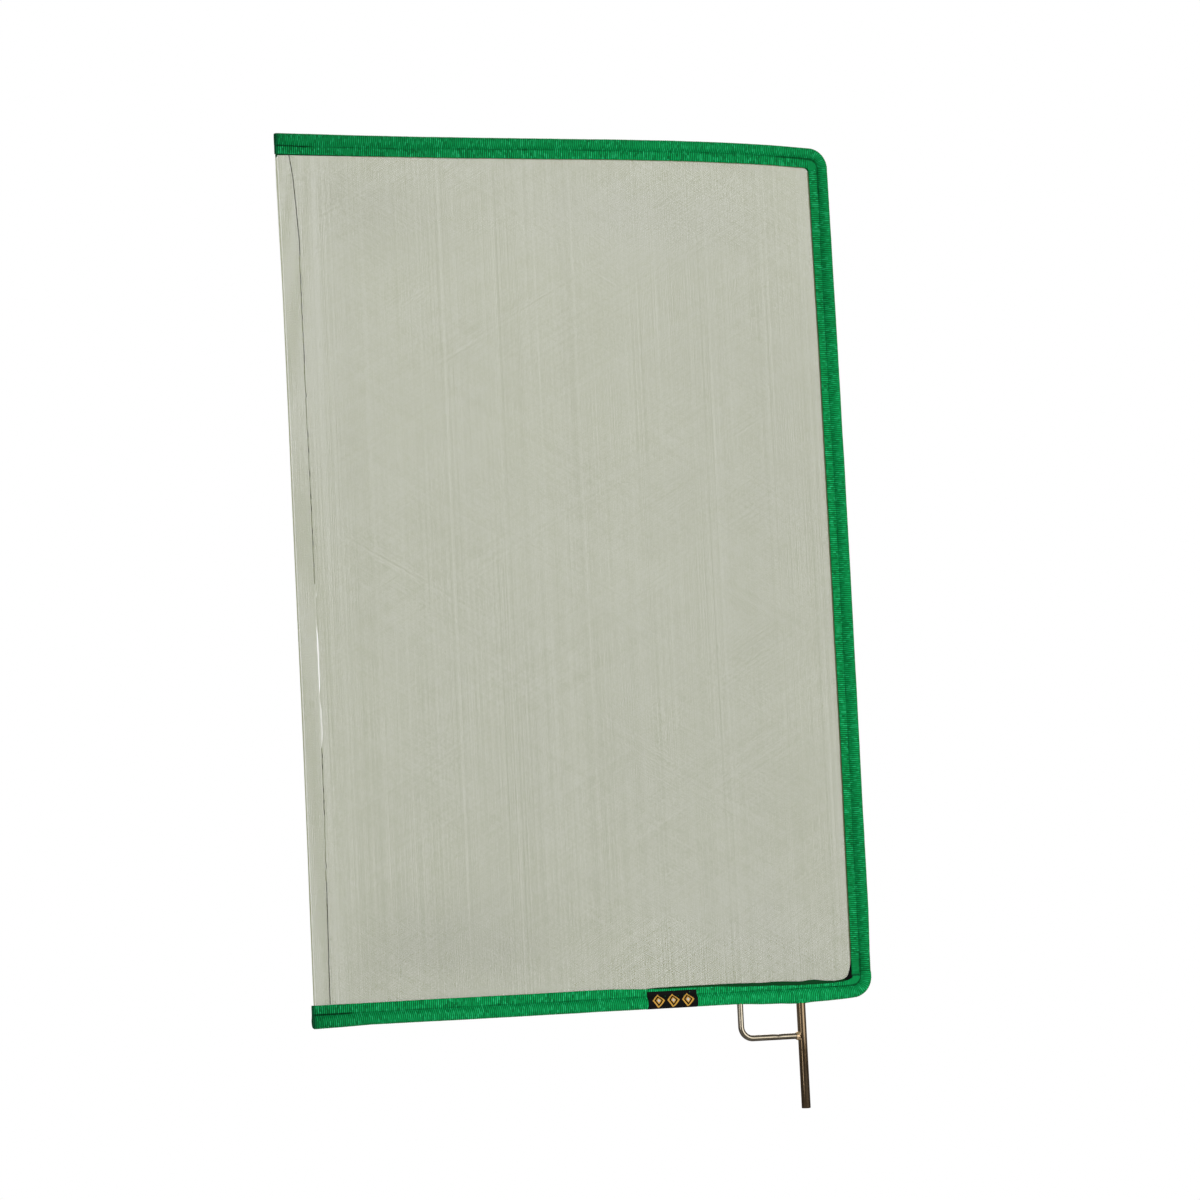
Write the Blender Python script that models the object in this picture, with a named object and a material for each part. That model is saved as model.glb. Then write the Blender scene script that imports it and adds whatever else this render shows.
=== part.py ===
"""Net flag: a steel rod frame open on one side, bound in folded tape that holds a stretched net.

Every flat outline is drawn as the front of the flag shows it: x to the right, y up, z towards
the viewer. The empty at the end of the script stands this drawing upright, so x stays x, y
becomes the height and the front of the flag faces -Y. The origin is the centre of the lower
end of the mounting pin. Metres throughout.
"""

import math

import bmesh
import bpy
from mathutils import Matrix, Vector

# Steel frame
frame_width = 0.6096  # free ends of the arms to the outside of the side rod, 24 in
frame_height = 0.9144  # outside of the bottom arm to the outside of the top arm, 36 in
rod_diameter = 0.009525
bend_radius = 0.0159  # centreline of the two frame corners
top_arm_bow = 0.0040
bottom_arm_bow = 0.0003
side_bow = 0.0018

# Mounting pin and brace
pin_diameter = 0.009525
pin_length = 0.1143  # lower end to the outside of the bottom arm
pin_inset = 0.0803  # axis to the outside of the side rod
pin_chamfer = 0.0008
brace_diameter = 0.00635
brace_spacing = 0.0686  # leg to pin, axis to axis
brace_drop = 0.0381  # axis of the brace bar below the outside of the bottom arm
brace_bend_radius = 0.0127
weld_height = 0.0024  # bead below its seat
weld_rise = 0.0014  # and above it
weld_toe = 0.0006  # how far the bead stands out at its narrow end
weld_spread = 0.0013  # and at its wide end

# Folded binding tape
tape_thickness = 0.0008
fold_depth = 0.0220  # outer edge of the binding to its inner edge
seam_depth = 0.0125  # outer edge of the binding to the stitch line
seam_margin = 0.0010  # stitch line to the place where the two layers part
corner_lap = 0.0040  # how far the corner square reaches past the fold
corner_chamfer = 0.0040
thread_diameter = 0.0007
tack_length = 0.0370
tack_width = 0.0026
tack_pitch = 0.0032
end_margin = 0.0030  # thread starts this far in from a tape end

# Net, inner stay tape and edge line
net_thickness = 0.0005
net_edge_bow = 0.0012
net_gap_pitch = 0.0460  # about this, evened out to fill the panel
net_strand = 0.0085
net_hem = 0.0300  # plain strip along the open side
net_border = 0.0080  # plain strip along the binding
stay_thickness = 0.0008
stay_show = 0.0016  # how far the stay tape shows past the binding
stay_tuck = 0.0010  # how far it is hidden elsewhere
stay_show_top = 0.1000  # length that shows at the open end of the top run
stay_show_bottom = 0.2050  # length that shows at the corner of the bottom run
line_diameter = 0.0008
line_inset = 0.0200  # open side of the net to the edge line
line_inset_ends = 0.0150
line_run_in = 0.0800  # length over which the line comes in from its ends

# Woven label, folded round the bottom run
label_width = 0.0560
label_depth = 0.0160
label_offset = 0.1440  # middle of the label to the pin's axis
label_thickness = 0.0004

clearance = 0.0003  # gap between pieces that touch

rod_sides = 10
arc_steps = 5
arm_steps = 10
side_steps = 8

rod_radius = rod_diameter / 2
pin_radius = pin_diameter / 2
brace_radius = brace_diameter / 2
thread_radius = thread_diameter / 2
line_radius = line_diameter / 2

# Centrelines of the frame
side_x = pin_inset - rod_radius
open_x = pin_inset - frame_width
bottom_y = pin_length + rod_radius
top_y = pin_length + frame_height - rod_radius
bend_x = side_x - bend_radius
arm_length = bend_x - open_x

# Depths are measured inwards from the rod's centreline
tape_outside = rod_radius + clearance + tape_thickness
fold_edge = fold_depth - tape_outside
seam_line = seam_depth - tape_outside
pinch = seam_line - seam_margin
net_inset = rod_radius + 2 * clearance
plate_start = rod_radius - clearance

# Layers between the two flanges of the tape, back to front
line_layer = max(stay_thickness, line_diameter)
flange_inside = (net_thickness + line_layer + 3 * clearance) / 2
flange_outside = flange_inside + tape_thickness
net_z = -flange_inside + clearance + net_thickness / 2
stay_z = flange_inside - clearance - line_layer / 2

split_top = top_y + tape_outside - fold_depth - corner_lap
split_bottom = bottom_y - tape_outside + fold_depth + corner_lap
tape_end = open_x - clearance - tape_thickness

# Colours, roughness and metallic
steel = ("steel", (0.20, 0.15, 0.10), 0.32, 1.0)
weld_steel = ("weld_steel", (0.26, 0.19, 0.12), 0.45, 1.0)
green_tape = ("green_tape", (0.004, 0.195, 0.045), 0.75, 0.0)
green_thread = ("green_thread", (0.002, 0.075, 0.018), 0.7, 0.0)
black_tape = ("black_tape", (0.006, 0.007, 0.006), 0.85, 0.0)
grey_net = ("grey_net", (0.49, 0.50, 0.42), 0.8, 0.0)
dark_line = ("dark_line", (0.05, 0.045, 0.04), 0.7, 0.0)
black_label = ("black_label", (0.012, 0.011, 0.010), 0.7, 0.0)


def clear_scene():
    for obj in list(bpy.data.objects):
        bpy.data.objects.remove(obj)


def new_collection(name, hidden=False):
    collection = bpy.data.collections.new(name)
    collection.hide_render = hidden
    bpy.context.scene.collection.children.link(collection)
    return collection


def material_of(finish):
    name, colour, roughness, metallic = finish
    found = bpy.data.materials.get(name)
    if found:
        return found
    made = bpy.data.materials.new(name)
    made.use_nodes = True
    shader = made.node_tree.nodes["Principled BSDF"]
    shader.inputs["Base Color"].default_value = (*colour, 1)
    shader.inputs["Roughness"].default_value = roughness
    shader.inputs["Metallic"].default_value = metallic
    made.diffuse_color = (*colour, 1)
    return made


# Drawn outlines


def arm_bow(depth, x):
    """How far an arm bends outwards: most a quarter of the way along from the corner."""
    t = (bend_x - x) / arm_length
    return depth * t * (1 - t) ** 3 / (0.25 * 0.75**3) if 0 < t < 1 else 0.0


def top_at(x, inset):
    return top_y + arm_bow(top_arm_bow, x) - inset


def bottom_at(x, inset):
    return bottom_y - arm_bow(bottom_arm_bow, x) + inset


def side_at(y, inset):
    t = (y - bottom_y - bend_radius) / (top_y - bottom_y - 2 * bend_radius)
    return side_x - inset + (4 * side_bow * t * (1 - t) if 0 < t < 1 else 0.0)


def spread(start, end, steps):
    return [start + (end - start) * i / steps for i in range(steps + 1)]


def top_run(inset, start, end, steps=arm_steps):
    return [(x, top_at(x, inset)) for x in spread(start, end, steps)]


def bottom_run(inset, start, end, steps=arm_steps):
    return [(x, bottom_at(x, inset)) for x in spread(start, end, steps)]


def side_run(inset, start, end, steps=side_steps):
    return [(side_at(y, inset), y) for y in spread(start, end, steps)]


def corner(centre_y, inset, turn_from):
    """The frame's corner at this inset, clockwise: an arc, or a point once the inset is past the bend."""
    radius = bend_radius - inset
    if radius <= 0:
        return [(bend_x + radius, centre_y + (radius if turn_from else -radius))]
    return [
        (
            bend_x + radius * math.cos(angle),
            centre_y + radius * math.sin(angle),
        )
        for angle in spread(turn_from, turn_from - math.pi / 2, arc_steps)
    ]


def top_corner(inset):
    return corner(top_y - bend_radius, inset, math.pi / 2)


def bottom_corner(inset):
    return corner(bottom_y + bend_radius, inset, 0)


def frame_path():
    """The rod's centreline from the free end of the top arm clockwise to that of the bottom arm."""
    corner_y = (top_y - bend_radius, bottom_y + bend_radius)
    return (
        top_run(0, open_x, bend_x)[:-1]
        + top_corner(0)
        + side_run(0, *corner_y)[1:-1]
        + bottom_corner(0)
        + bottom_run(0, bend_x, open_x)[1:]
    )


# Builders


def poly_curve(name, points, cyclic=False, flat=False):
    curve = bpy.data.curves.new(name, "CURVE")
    curve.dimensions = "2D" if flat else "3D"
    spline = curve.splines.new("POLY")
    spline.points.add(len(points) - 1)
    for spot, point in zip(spline.points, points):
        spot.co = (*point, 1) if len(point) == 3 else (*point, 0, 1)
    spline.use_cyclic_u = cyclic
    obj = bpy.data.objects.new(name, curve)
    bpy.context.scene.collection.objects.link(obj)
    return obj


def mesh_of(*curves):
    """The first curve as a closed mesh; the curves are removed."""
    bpy.context.view_layer.update()
    graph = bpy.context.evaluated_depsgraph_get()
    mesh = bpy.data.meshes.new_from_object(curves[0].evaluated_get(graph))
    for obj in curves:
        data = obj.data
        bpy.data.objects.remove(obj)
        bpy.data.curves.remove(data)
    shape = bmesh.new()
    shape.from_mesh(mesh)
    bmesh.ops.remove_doubles(shape, verts=shape.verts, dist=0.00001)
    bmesh.ops.recalc_face_normals(shape, faces=shape.faces)
    shape.to_mesh(mesh)
    shape.free()
    return mesh


def swept(name, path, section):
    """A section, given as (inwards, towards the viewer), carried along a flat path."""
    profile = poly_curve(name + "_section", section, cyclic=True, flat=True)
    route = poly_curve(name, path, flat=True)
    route.data.bevel_mode = "OBJECT"
    route.data.bevel_object = profile
    route.data.use_fill_caps = True
    return mesh_of(route, profile)


def rod(name, path, radius, sides=rod_sides, cyclic=False):
    route = poly_curve(name, path, cyclic=cyclic)
    route.data.bevel_depth = radius
    route.data.bevel_resolution = (sides - 4) // 2
    route.data.use_fill_caps = not cyclic
    return mesh_of(route)


def plate(name, outline, thickness, middle=0.0):
    sheet = poly_curve(name, outline, cyclic=True, flat=True)
    sheet.data.fill_mode = "BOTH"
    sheet.data.extrude = thickness / 2
    mesh = mesh_of(sheet)
    mesh.transform(Matrix.Translation((0, 0, middle)))
    return mesh


def round_bar(name, start, end, radius, end_radius=None, sides=24):
    """A straight round bar, or a cone when its far end has another radius."""
    start, end = Vector(start), Vector(end)
    shape = bmesh.new()
    bmesh.ops.create_cone(
        shape,
        cap_ends=True,
        segments=sides,
        radius1=radius,
        radius2=radius if end_radius is None else end_radius,
        depth=(end - start).length,
    )
    turn = (end - start).to_track_quat("Z", "Y").to_matrix().to_4x4()
    shape.transform(Matrix.Translation((start + end) / 2) @ turn)
    mesh = bpy.data.meshes.new(name)
    shape.to_mesh(mesh)
    shape.free()
    return mesh


def add_piece(name, mesh, finish):
    mesh.name = name
    mesh.materials.clear()
    mesh.materials.append(material_of(finish))
    mesh.shade_smooth()
    mesh.set_sharp_from_angle(angle=math.radians(35))
    obj = bpy.data.objects.new(name, mesh)
    pieces.objects.link(obj)
    obj.parent = panel_plane
    return obj


def add_cutter(name, mesh):
    obj = bpy.data.objects.new(name, mesh)
    cutters.objects.link(obj)
    obj.parent = panel_plane
    obj.hide_render = True
    obj.display_type = "WIRE"
    return obj


def combine(obj, other, operation):
    step = obj.modifiers.new(f"{operation.lower()}_{other.name}", "BOOLEAN")
    step.operation = operation
    step.solver = "EXACT"
    step.object = other


# Steel


def build_frame_rod():
    add_piece("frame_rod", rod("frame_rod", frame_path(), rod_radius), steel)


def build_pin():
    """Round pin, chamfered at its free end and butted against the underside of the bottom arm."""
    top = (0, bottom_at(0, 0) - rod_radius - clearance, 0)
    mesh = round_bar("pin", (0, 0, 0), top, pin_radius)
    shape = bmesh.new()
    shape.from_mesh(mesh)
    rim = [e for e in shape.edges if all(abs(v.co.y) < clearance for v in e.verts)]
    bmesh.ops.bevel(
        shape,
        geom=rim,
        offset=pin_chamfer,
        segments=1,
        affect="EDGES",
        profile=0.5,
        material=-1,
    )
    shape.to_mesh(mesh)
    shape.free()
    add_piece("pin", mesh, steel)


def build_brace_rod():
    """The leg hangs from the bottom arm, turns a quarter and runs across to the pin."""
    leg_x = -brace_spacing
    bar_y = pin_length - brace_drop
    centre = (leg_x + brace_bend_radius, bar_y + brace_bend_radius)
    turn = [
        (
            centre[0] + brace_bend_radius * math.cos(angle),
            centre[1] + brace_bend_radius * math.sin(angle),
            0,
        )
        for angle in spread(math.pi, 1.5 * math.pi, arc_steps + 1)
    ]
    leg_top = (leg_x, bottom_at(leg_x, 0) - rod_radius - clearance, 0)
    bar_end = (-pin_radius - clearance, bar_y, 0)
    path = [leg_top, *turn, bar_end]
    add_piece("brace_rod", rod("brace_rod", path, brace_radius, sides=12), steel)


def build_welds():
    """Fillet beads where the pin and the two ends of the brace meet what they are welded to."""
    bar_y = pin_length - brace_drop
    leg_x = -brace_spacing
    arm_cutter = add_cutter(
        "arm_cutter", rod("arm_cutter", frame_path(), rod_radius + clearance, sides=24)
    )
    pin_cutter = add_cutter(
        "pin_cutter",
        round_bar("pin_cutter", (0, -clearance, 0), (0, weld_seat(0), 0), pin_radius + clearance),
    )
    leg_cutter = add_cutter(
        "leg_cutter",
        round_bar(
            "leg_cutter",
            (leg_x, bar_y, 0),
            (leg_x, weld_seat(leg_x), 0),
            brace_radius + clearance,
        ),
    )
    bar_cutter = add_cutter(
        "bar_cutter",
        round_bar("bar_cutter", (leg_x, bar_y, 0), (-pin_radius, bar_y, 0), brace_radius + clearance),
    )
    joints = [
        ("pin_weld", (0, weld_seat(0), 0), (0, 1, 0), pin_radius, pin_cutter, arm_cutter),
        ("brace_arm_weld", (leg_x, weld_seat(leg_x), 0), (0, 1, 0), brace_radius, leg_cutter, arm_cutter),
        ("brace_pin_weld", (-pin_radius, bar_y, 0), (1, 0, 0), brace_radius, bar_cutter, pin_cutter),
    ]
    for name, seat, towards, radius, own_cutter, host_cutter in joints:
        seat, towards = Vector(seat), Vector(towards)
        mesh = round_bar(
            name,
            seat - towards * weld_height,
            seat + towards * weld_rise,
            radius + weld_toe,
            radius + weld_spread,
        )
        bead = add_piece(name, mesh, weld_steel)
        combine(bead, own_cutter, "DIFFERENCE")
        combine(bead, host_cutter, "DIFFERENCE")


def weld_seat(x):
    """The height of the bottom arm's underside."""
    return bottom_at(x, 0) - rod_radius


# Binding tape


def fold_line(offset, reach, depth):
    """One side of the folded tape, this far outside its inner face, from the flange round the rod.

    The line leaves the flange at the pinch and touches the rod's pocket. reach is how far the
    flange goes in; without one, the line stops just past the pinch, below the flange's face.
    """
    pocket = rod_radius + clearance
    half = flange_inside
    span = math.hypot(pinch, half)
    touch = math.atan2(half, pinch) + math.acos(pocket / span)
    radius = pocket + offset
    slope = (math.sin(touch), -math.cos(touch))
    meeting = (radius - (half + offset) * math.sin(touch)) / math.cos(touch)
    start = [(meeting + slope[0] * depth, half + offset + slope[1] * depth)]
    if reach is not None:
        start = [(reach, half + offset), (meeting, half + offset)]
    arc = [
        (radius * math.cos(angle), radius * math.sin(angle))
        for angle in spread(touch, math.tau - touch, 2 * arc_steps + 2)
    ]
    back = [(u, -z) for u, z in reversed(start)]
    return start + arc + back


def pocket_section(offset):
    """A closed drop shape: the pocket for the rod, tapering to the flange."""
    return fold_line(offset, None, clearance)


def tape_section():
    """The folded tape with both flanges."""
    outer = fold_line(tape_thickness, fold_edge, 0)
    inner = fold_line(0, fold_edge, 0)
    return outer + inner[::-1]


def corner_square(far_edge, split, past_split, open_end, at, corner_of, run):
    """The flange of a run that owns its corner: along the arm, round the corner, to the split."""
    limit = side_x - plate_start
    outer = run(plate_start, open_end, bend_x)[:-1] + corner_of(plate_start)
    side_end = split + past_split
    inner_x = side_x - far_edge
    inner_y = at(inner_x, far_edge)
    step = corner_chamfer if inner_y > split else -corner_chamfer
    inner = run(far_edge, open_end, inner_x - corner_chamfer)
    return (
        outer
        + [(limit, side_end), (inner_x, side_end), (inner_x, inner_y - step)]
        + inner[::-1]
    )


def build_corner_binding(name, at, corner_of, run, split, direction):
    """A run of binding with the corner it turns: the pocket and flange, less the same shapes inside."""
    past = 5 * tape_thickness * direction
    walls = {}
    for part, offset, half, start, end, over in (
        ("outside", tape_thickness, flange_outside, tape_end, split, 0),
        ("inside", 0, flange_inside, open_x - clearance, split + past, past),
    ):
        tail = side_run(0, corner_of(0)[-1 if direction < 0 else 0][1], end, 1)[1:]
        arm = run(0, start, bend_x)[:-1]
        bend = corner_of(0)
        if direction < 0:
            path = arm + bend + tail
        else:
            path = tail + bend + arm[::-1]
        walls[part] = swept(f"{name}_{part}", path, pocket_section(offset))
        reach = fold_edge if part == "outside" else fold_edge + tape_thickness
        end_x = tape_end if part == "outside" else tape_end - tape_thickness
        bend_in = bend_at_inset(corner_of, direction)
        outline = corner_square(reach, split, over, end_x, at, bend_in, run)
        walls[part + "_flange"] = plate(f"{name}_{part}_flange", outline, 2 * half)
    piece = add_piece(name, walls["outside"], green_tape)
    combine(piece, add_cutter(f"{name}_flange", walls["outside_flange"]), "UNION")
    combine(piece, add_cutter(f"{name}_pocket", walls["inside"]), "DIFFERENCE")
    combine(piece, add_cutter(f"{name}_slot", walls["inside_flange"]), "DIFFERENCE")
    return piece


def bend_at_inset(corner_of, direction):
    """The corner's points in the order that runs from the arm to the side."""
    return corner_of if direction < 0 else lambda inset: corner_of(inset)[::-1]


def build_binding():
    build_corner_binding("binding_top", top_at, top_corner, top_run, split_top, -1)
    bottom = build_corner_binding(
        "binding_bottom", bottom_at, bottom_corner, bottom_run, split_bottom, 1
    )
    for name, x, radius in (
        ("pin_hole", 0, pin_radius),
        ("leg_hole", -brace_spacing, brace_radius),
    ):
        hole = radius + weld_spread + clearance
        top = weld_seat(x) + weld_rise + clearance
        mesh = round_bar(name, (x, weld_seat(x) - fold_depth, 0), (x, top, 0), hole)
        combine(bottom, add_cutter(name, mesh), "DIFFERENCE")
    path = side_run(0, split_top - clearance, split_bottom + clearance)
    add_piece("binding_side", swept("binding_side", path, tape_section()), green_tape)


# Threads


def layered(points, z):
    return [(x, y, z) for x, y in points]


def label_span():
    return -label_offset - label_width / 2, -label_offset + label_width / 2


def build_seams():
    """A row of stitches has a thread on each face of the binding, and a bar tack at each open end."""
    face = flange_outside + clearance + thread_radius
    raised = face + label_thickness + clearance
    seam_start = tape_end + tack_length + end_margin
    low, high = label_span()
    ease = 2 * thread_diameter
    for side, sign in (("front", 1), ("back", -1)):
        top = (
            top_run(seam_line, seam_start, bend_x)[:-1]
            + top_corner(seam_line)
            + side_run(seam_line, split_top + end_margin, split_top + end_margin / 2, 1)
        )
        add_thread(f"seam_top_{side}", layered(top, sign * face))
        length = side_run(seam_line, split_top - end_margin, split_bottom + end_margin)
        add_thread(f"seam_side_{side}", layered(length, sign * face))
        past_label = (
            bottom_run(seam_line, high + 2 * ease, bend_x, 7)[:-1]
            + bottom_corner(seam_line)[::-1]
            + side_run(seam_line, split_bottom - end_margin, split_bottom - end_margin / 2, 1)
        )
        bottom = (
            layered(bottom_run(seam_line, seam_start, low - 2 * ease, 4), sign * face)
            + layered(bottom_run(seam_line, low - ease, high + ease, 2), sign * raised)
            + layered(past_label, sign * face)
        )
        add_thread(f"seam_bottom_{side}", bottom)
        for name, at in (("top", top_at), ("bottom", bottom_at)):
            add_thread(f"end_tack_{name}_{side}", tack_path(at, sign * face))


def tack_path(at, z):
    """A zigzag of stitches on the inner side of the seam line."""
    count = round((tack_length - end_margin) / tack_pitch)
    points = []
    for i in range(2 * count + 1):
        x = tape_end + end_margin + i * tack_pitch / 2
        sway = tack_width if i % 2 else 0
        points.append((x, at(x, seam_line + sway), z))
    return points


def add_thread(name, path):
    add_piece(name, rod(name, path, thread_radius, sides=6), green_thread)


# Net, stay tape, edge line and label


def net_edge_at(y):
    """The open side of the net, drawn in a little between its two held ends."""
    t = (y - bottom_y) / (top_y - bottom_y)
    return open_x - clearance + (4 * net_edge_bow * t * (1 - t) if 0 < t < 1 else 0.0)


def net_outline():
    low, high = bottom_at(open_x, net_inset), top_at(open_x, net_inset)
    start = net_edge_at(high)
    sides = (top_corner(net_inset)[-1][1], bottom_corner(net_inset)[0][1])
    return (
        top_run(net_inset, start, bend_x)[:-1]
        + top_corner(net_inset)
        + side_run(net_inset, *sides)[1:-1]
        + bottom_corner(net_inset)
        + bottom_run(net_inset, bend_x, start)[1:]
        + [(net_edge_at(y), y) for y in spread(low, high, side_steps)][1:-1]
    )


def net_gaps():
    """Six-sided gaps in staggered rows that fill the panel inside its plain borders."""
    left = open_x + net_hem
    right = side_x - fold_edge - net_border
    low = bottom_y + fold_edge + net_border
    high = top_y - fold_edge - net_border
    radius = (net_gap_pitch - net_strand) / math.sqrt(3)
    half = (net_gap_pitch - net_strand) / 2
    columns = int((right - left + net_strand) / net_gap_pitch - 0.5)
    rows = int((high - low - 2 * radius) / (net_gap_pitch * math.sqrt(3) / 2)) + 1
    column_pitch = (right - left - 2 * half) / (columns - 0.5)
    row_pitch = (high - low - 2 * radius) / (rows - 1)
    shape = bmesh.new()
    for row in range(rows):
        for column in range(columns):
            x = left + half + (column + 0.5 * (row % 2)) * column_pitch
            place = Matrix.Translation((x, low + radius + row * row_pitch, net_z))
            bmesh.ops.create_cone(
                shape,
                cap_ends=True,
                segments=6,
                radius1=radius,
                radius2=radius,
                depth=4 * net_thickness,
                matrix=place,
            )
    mesh = bpy.data.meshes.new("net_gaps")
    shape.to_mesh(mesh)
    shape.free()
    return mesh


def build_net():
    sheet = plate("net_panel", net_outline(), net_thickness, net_z)
    net = add_piece("net_panel", sheet, grey_net)
    combine(net, add_cutter("net_gaps", net_gaps()), "DIFFERENCE")


def stay_edge(x, start, end):
    """Inner edge of a stay tape: it shows between start and end and is tucked away past them."""
    shown = fold_edge + stay_show
    hidden = fold_edge - stay_tuck
    return shown if start <= x <= end else hidden


def stay_run(at, start, end, shown_from, shown_to):
    """Outline of the stay tape in an arm's binding, its showing stretch eased in over a short length."""
    ease = 4 * (stay_show + stay_tuck)
    stops = sorted({start, end, *(x for x in (shown_from, shown_to) if start < x < end)})
    inner = []
    for x in stops:
        inner.append((x, at(x, stay_edge(x, shown_from, shown_to))))
        if x == shown_from != start:
            inner.insert(-1, (x - ease, at(x - ease, fold_edge - stay_tuck)))
        if x == shown_to != end:
            inner.append((x + ease, at(x + ease, fold_edge - stay_tuck)))
    outer = [(x, at(x, net_inset)) for x in spread(end, start, arm_steps)]
    return inner + outer


def build_stay():
    """Narrow black tape sewn in between the net and the front layer of the binding."""
    lap_x = side_x - fold_edge - clearance
    start = open_x + clearance
    top = stay_run(top_at, start, lap_x, start, open_x + stay_show_top)
    bottom_start = open_x + line_inset + 4 * line_diameter
    bottom = stay_run(bottom_at, bottom_start, lap_x, side_x - stay_show_bottom, lap_x)
    low = bottom_y + bend_radius
    high = top_y - bend_radius
    upright = side_run(net_inset, high, low) + side_run(fold_edge - stay_tuck, low, high)
    for name, outline in (
        ("stay_tape_top", top),
        ("stay_tape_bottom", bottom),
        ("stay_tape_side", upright),
    ):
        mesh = plate(name, outline, stay_thickness, stay_z)
        add_piece(name, mesh, black_tape)


def build_edge_line():
    """The line along the open side, from the seam of the bottom run up to the stay tape of the top run."""
    low = bottom_at(open_x, seam_line)
    high = top_at(open_x + line_inset_ends, fold_edge + stay_show) - clearance - line_radius
    points = []
    for y in spread(low, high, 2 * arm_steps):
        near_end = min(y - low, high - y) / line_run_in
        ease = math.sin(min(near_end, 1) * math.pi / 2)
        inset = line_inset_ends + (line_inset - line_inset_ends) * ease
        points.append((net_edge_at(y) + inset, y, stay_z))
    add_piece("edge_line", rod("edge_line", points, line_radius, sides=6), dark_line)


def build_label():
    """A strip of woven label folded round the bottom run, under the seam's thread."""
    reach = label_depth - tape_outside
    outer = fold_line(tape_thickness + clearance + label_thickness, reach, 0)
    inner = fold_line(tape_thickness + clearance, reach, 0)
    low, high = label_span()
    path = bottom_run(0, high, low, 4)
    add_piece("label", swept("label", path, outer + inner[::-1]), black_label)


clear_scene()
pieces = new_collection("net_flag")
cutters = new_collection("cutters", hidden=True)
panel_plane = bpy.data.objects.new("panel_plane", None)
panel_plane.rotation_euler.x = math.pi / 2
pieces.objects.link(panel_plane)

build_frame_rod()
build_pin()
build_brace_rod()
build_welds()
build_binding()
build_seams()
build_net()
build_stay()
build_edge_line()
build_label()
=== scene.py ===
import math
import random

import bmesh
import bpy
from mathutils import Matrix, Vector, noise


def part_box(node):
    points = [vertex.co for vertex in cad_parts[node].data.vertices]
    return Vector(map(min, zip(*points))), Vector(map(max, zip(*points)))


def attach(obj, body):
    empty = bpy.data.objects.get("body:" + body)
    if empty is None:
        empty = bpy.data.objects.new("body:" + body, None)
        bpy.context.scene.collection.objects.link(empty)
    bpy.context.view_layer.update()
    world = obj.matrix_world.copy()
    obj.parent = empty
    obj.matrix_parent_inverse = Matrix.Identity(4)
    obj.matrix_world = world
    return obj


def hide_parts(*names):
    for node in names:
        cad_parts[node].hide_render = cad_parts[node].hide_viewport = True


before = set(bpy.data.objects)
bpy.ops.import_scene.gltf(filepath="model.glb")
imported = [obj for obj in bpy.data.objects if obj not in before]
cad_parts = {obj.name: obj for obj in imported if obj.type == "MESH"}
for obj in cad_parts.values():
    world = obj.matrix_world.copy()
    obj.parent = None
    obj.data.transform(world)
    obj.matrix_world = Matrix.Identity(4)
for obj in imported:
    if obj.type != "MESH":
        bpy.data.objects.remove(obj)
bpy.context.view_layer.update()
print("frame loaded:", len(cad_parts), "nodes")

# The steel under the cloth, in metres. x runs right, z up, and the front of the flag faces -y.
steel = {
    "rodRadius": 0.0047625,
    "bendRadius": 0.0159,  # centreline of the two corners
    "width": 0.6096,
    "height": 0.9144,
    "pinInset": 0.0803,  # pin's axis to the outside of the closed side
    "pinLength": 0.1143,
    "topBow": 0.004,  # how far each run bends outwards
    "bottomBow": 0.0003,
    "sideBow": 0.0018,
    "braceRadius": 0.003175,
    "braceX": -0.0686,  # axis of the brace's leg
}
pinRadius = steel["rodRadius"]
braceRadius, braceX = steel["braceRadius"], steel["braceX"]
sideX = steel["pinInset"] - steel["rodRadius"]
openX = steel["pinInset"] - steel["width"]
bendX = sideX - steel["bendRadius"]
bottomZ = steel["pinLength"] + steel["rodRadius"]
topZ = steel["pinLength"] + steel["height"] - steel["rodRadius"]


def armBow(depth, x):
    t = (bendX - x) / (bendX - openX)
    return depth * t * (1 - t) ** 3 / (0.25 * 0.75**3) if 0 < t < 1 else 0.0


def topAt(x):
    return topZ + armBow(steel["topBow"], x)


def bottomAt(x):
    return bottomZ - armBow(steel["bottomBow"], x)


def sideAt(z):
    t = (z - bottomZ - steel["bendRadius"]) / (topZ - bottomZ - 2 * steel["bendRadius"])
    return sideX + (4 * steel["sideBow"] * t * (1 - t) if 0 < t < 1 else 0.0)


def between(stops, x):
    # value at x on a row of (x, value) stops
    if x <= stops[0][0]:
        return stops[0][1]
    for (x0, v0), (x1, v1) in zip(stops, stops[1:]):
        if x <= x1:
            return v0 + (v1 - v0) * (x - x0) / (x1 - x0)
    return stops[-1][1]


def share(x, low, high):
    # how far x is on its way from low to high, from 0 to 1
    return max(0.0, min(1.0, (x - low) / (high - low)))


def drift(x, seed, size):
    # slow random wander between -1 and 1
    return noise.noise(Vector((x / size, seed * 7.3, 0.5)))


def feed(tree, node, inputs):
    # links each socket that it is given and sets each plain value
    for key, value in inputs.items():
        if isinstance(value, bpy.types.NodeSocket):
            tree.links.new(value, node.inputs[key])
        else:
            node.inputs[key].default_value = value
    return node


def addNode(tree, kind, inputs=None, **settings):
    node = tree.nodes.new("ShaderNode" + kind)
    for name, value in settings.items():
        setattr(node, name, value)
    return feed(tree, node, inputs or {})


def calc(tree, operation, *values, clamp=False):
    inputs = dict(enumerate(values))
    return addNode(tree, "Math", inputs, operation=operation, use_clamp=clamp).outputs[0]


def times(tree, first, second):
    return calc(tree, "MULTIPLY", first, second)


def scaled(tree, value, by, plus):
    return calc(tree, "MULTIPLY_ADD", value, by, plus)


def apart(tree, first, second):
    return calc(tree, "ABSOLUTE", calc(tree, "SUBTRACT", first, second))


def remap(tree, value, low, high, start=0.0, end=1.0):
    return addNode(tree, "MapRange", {0: value, 1: low, 2: high, 3: start, 4: end}).outputs[0]


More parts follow.
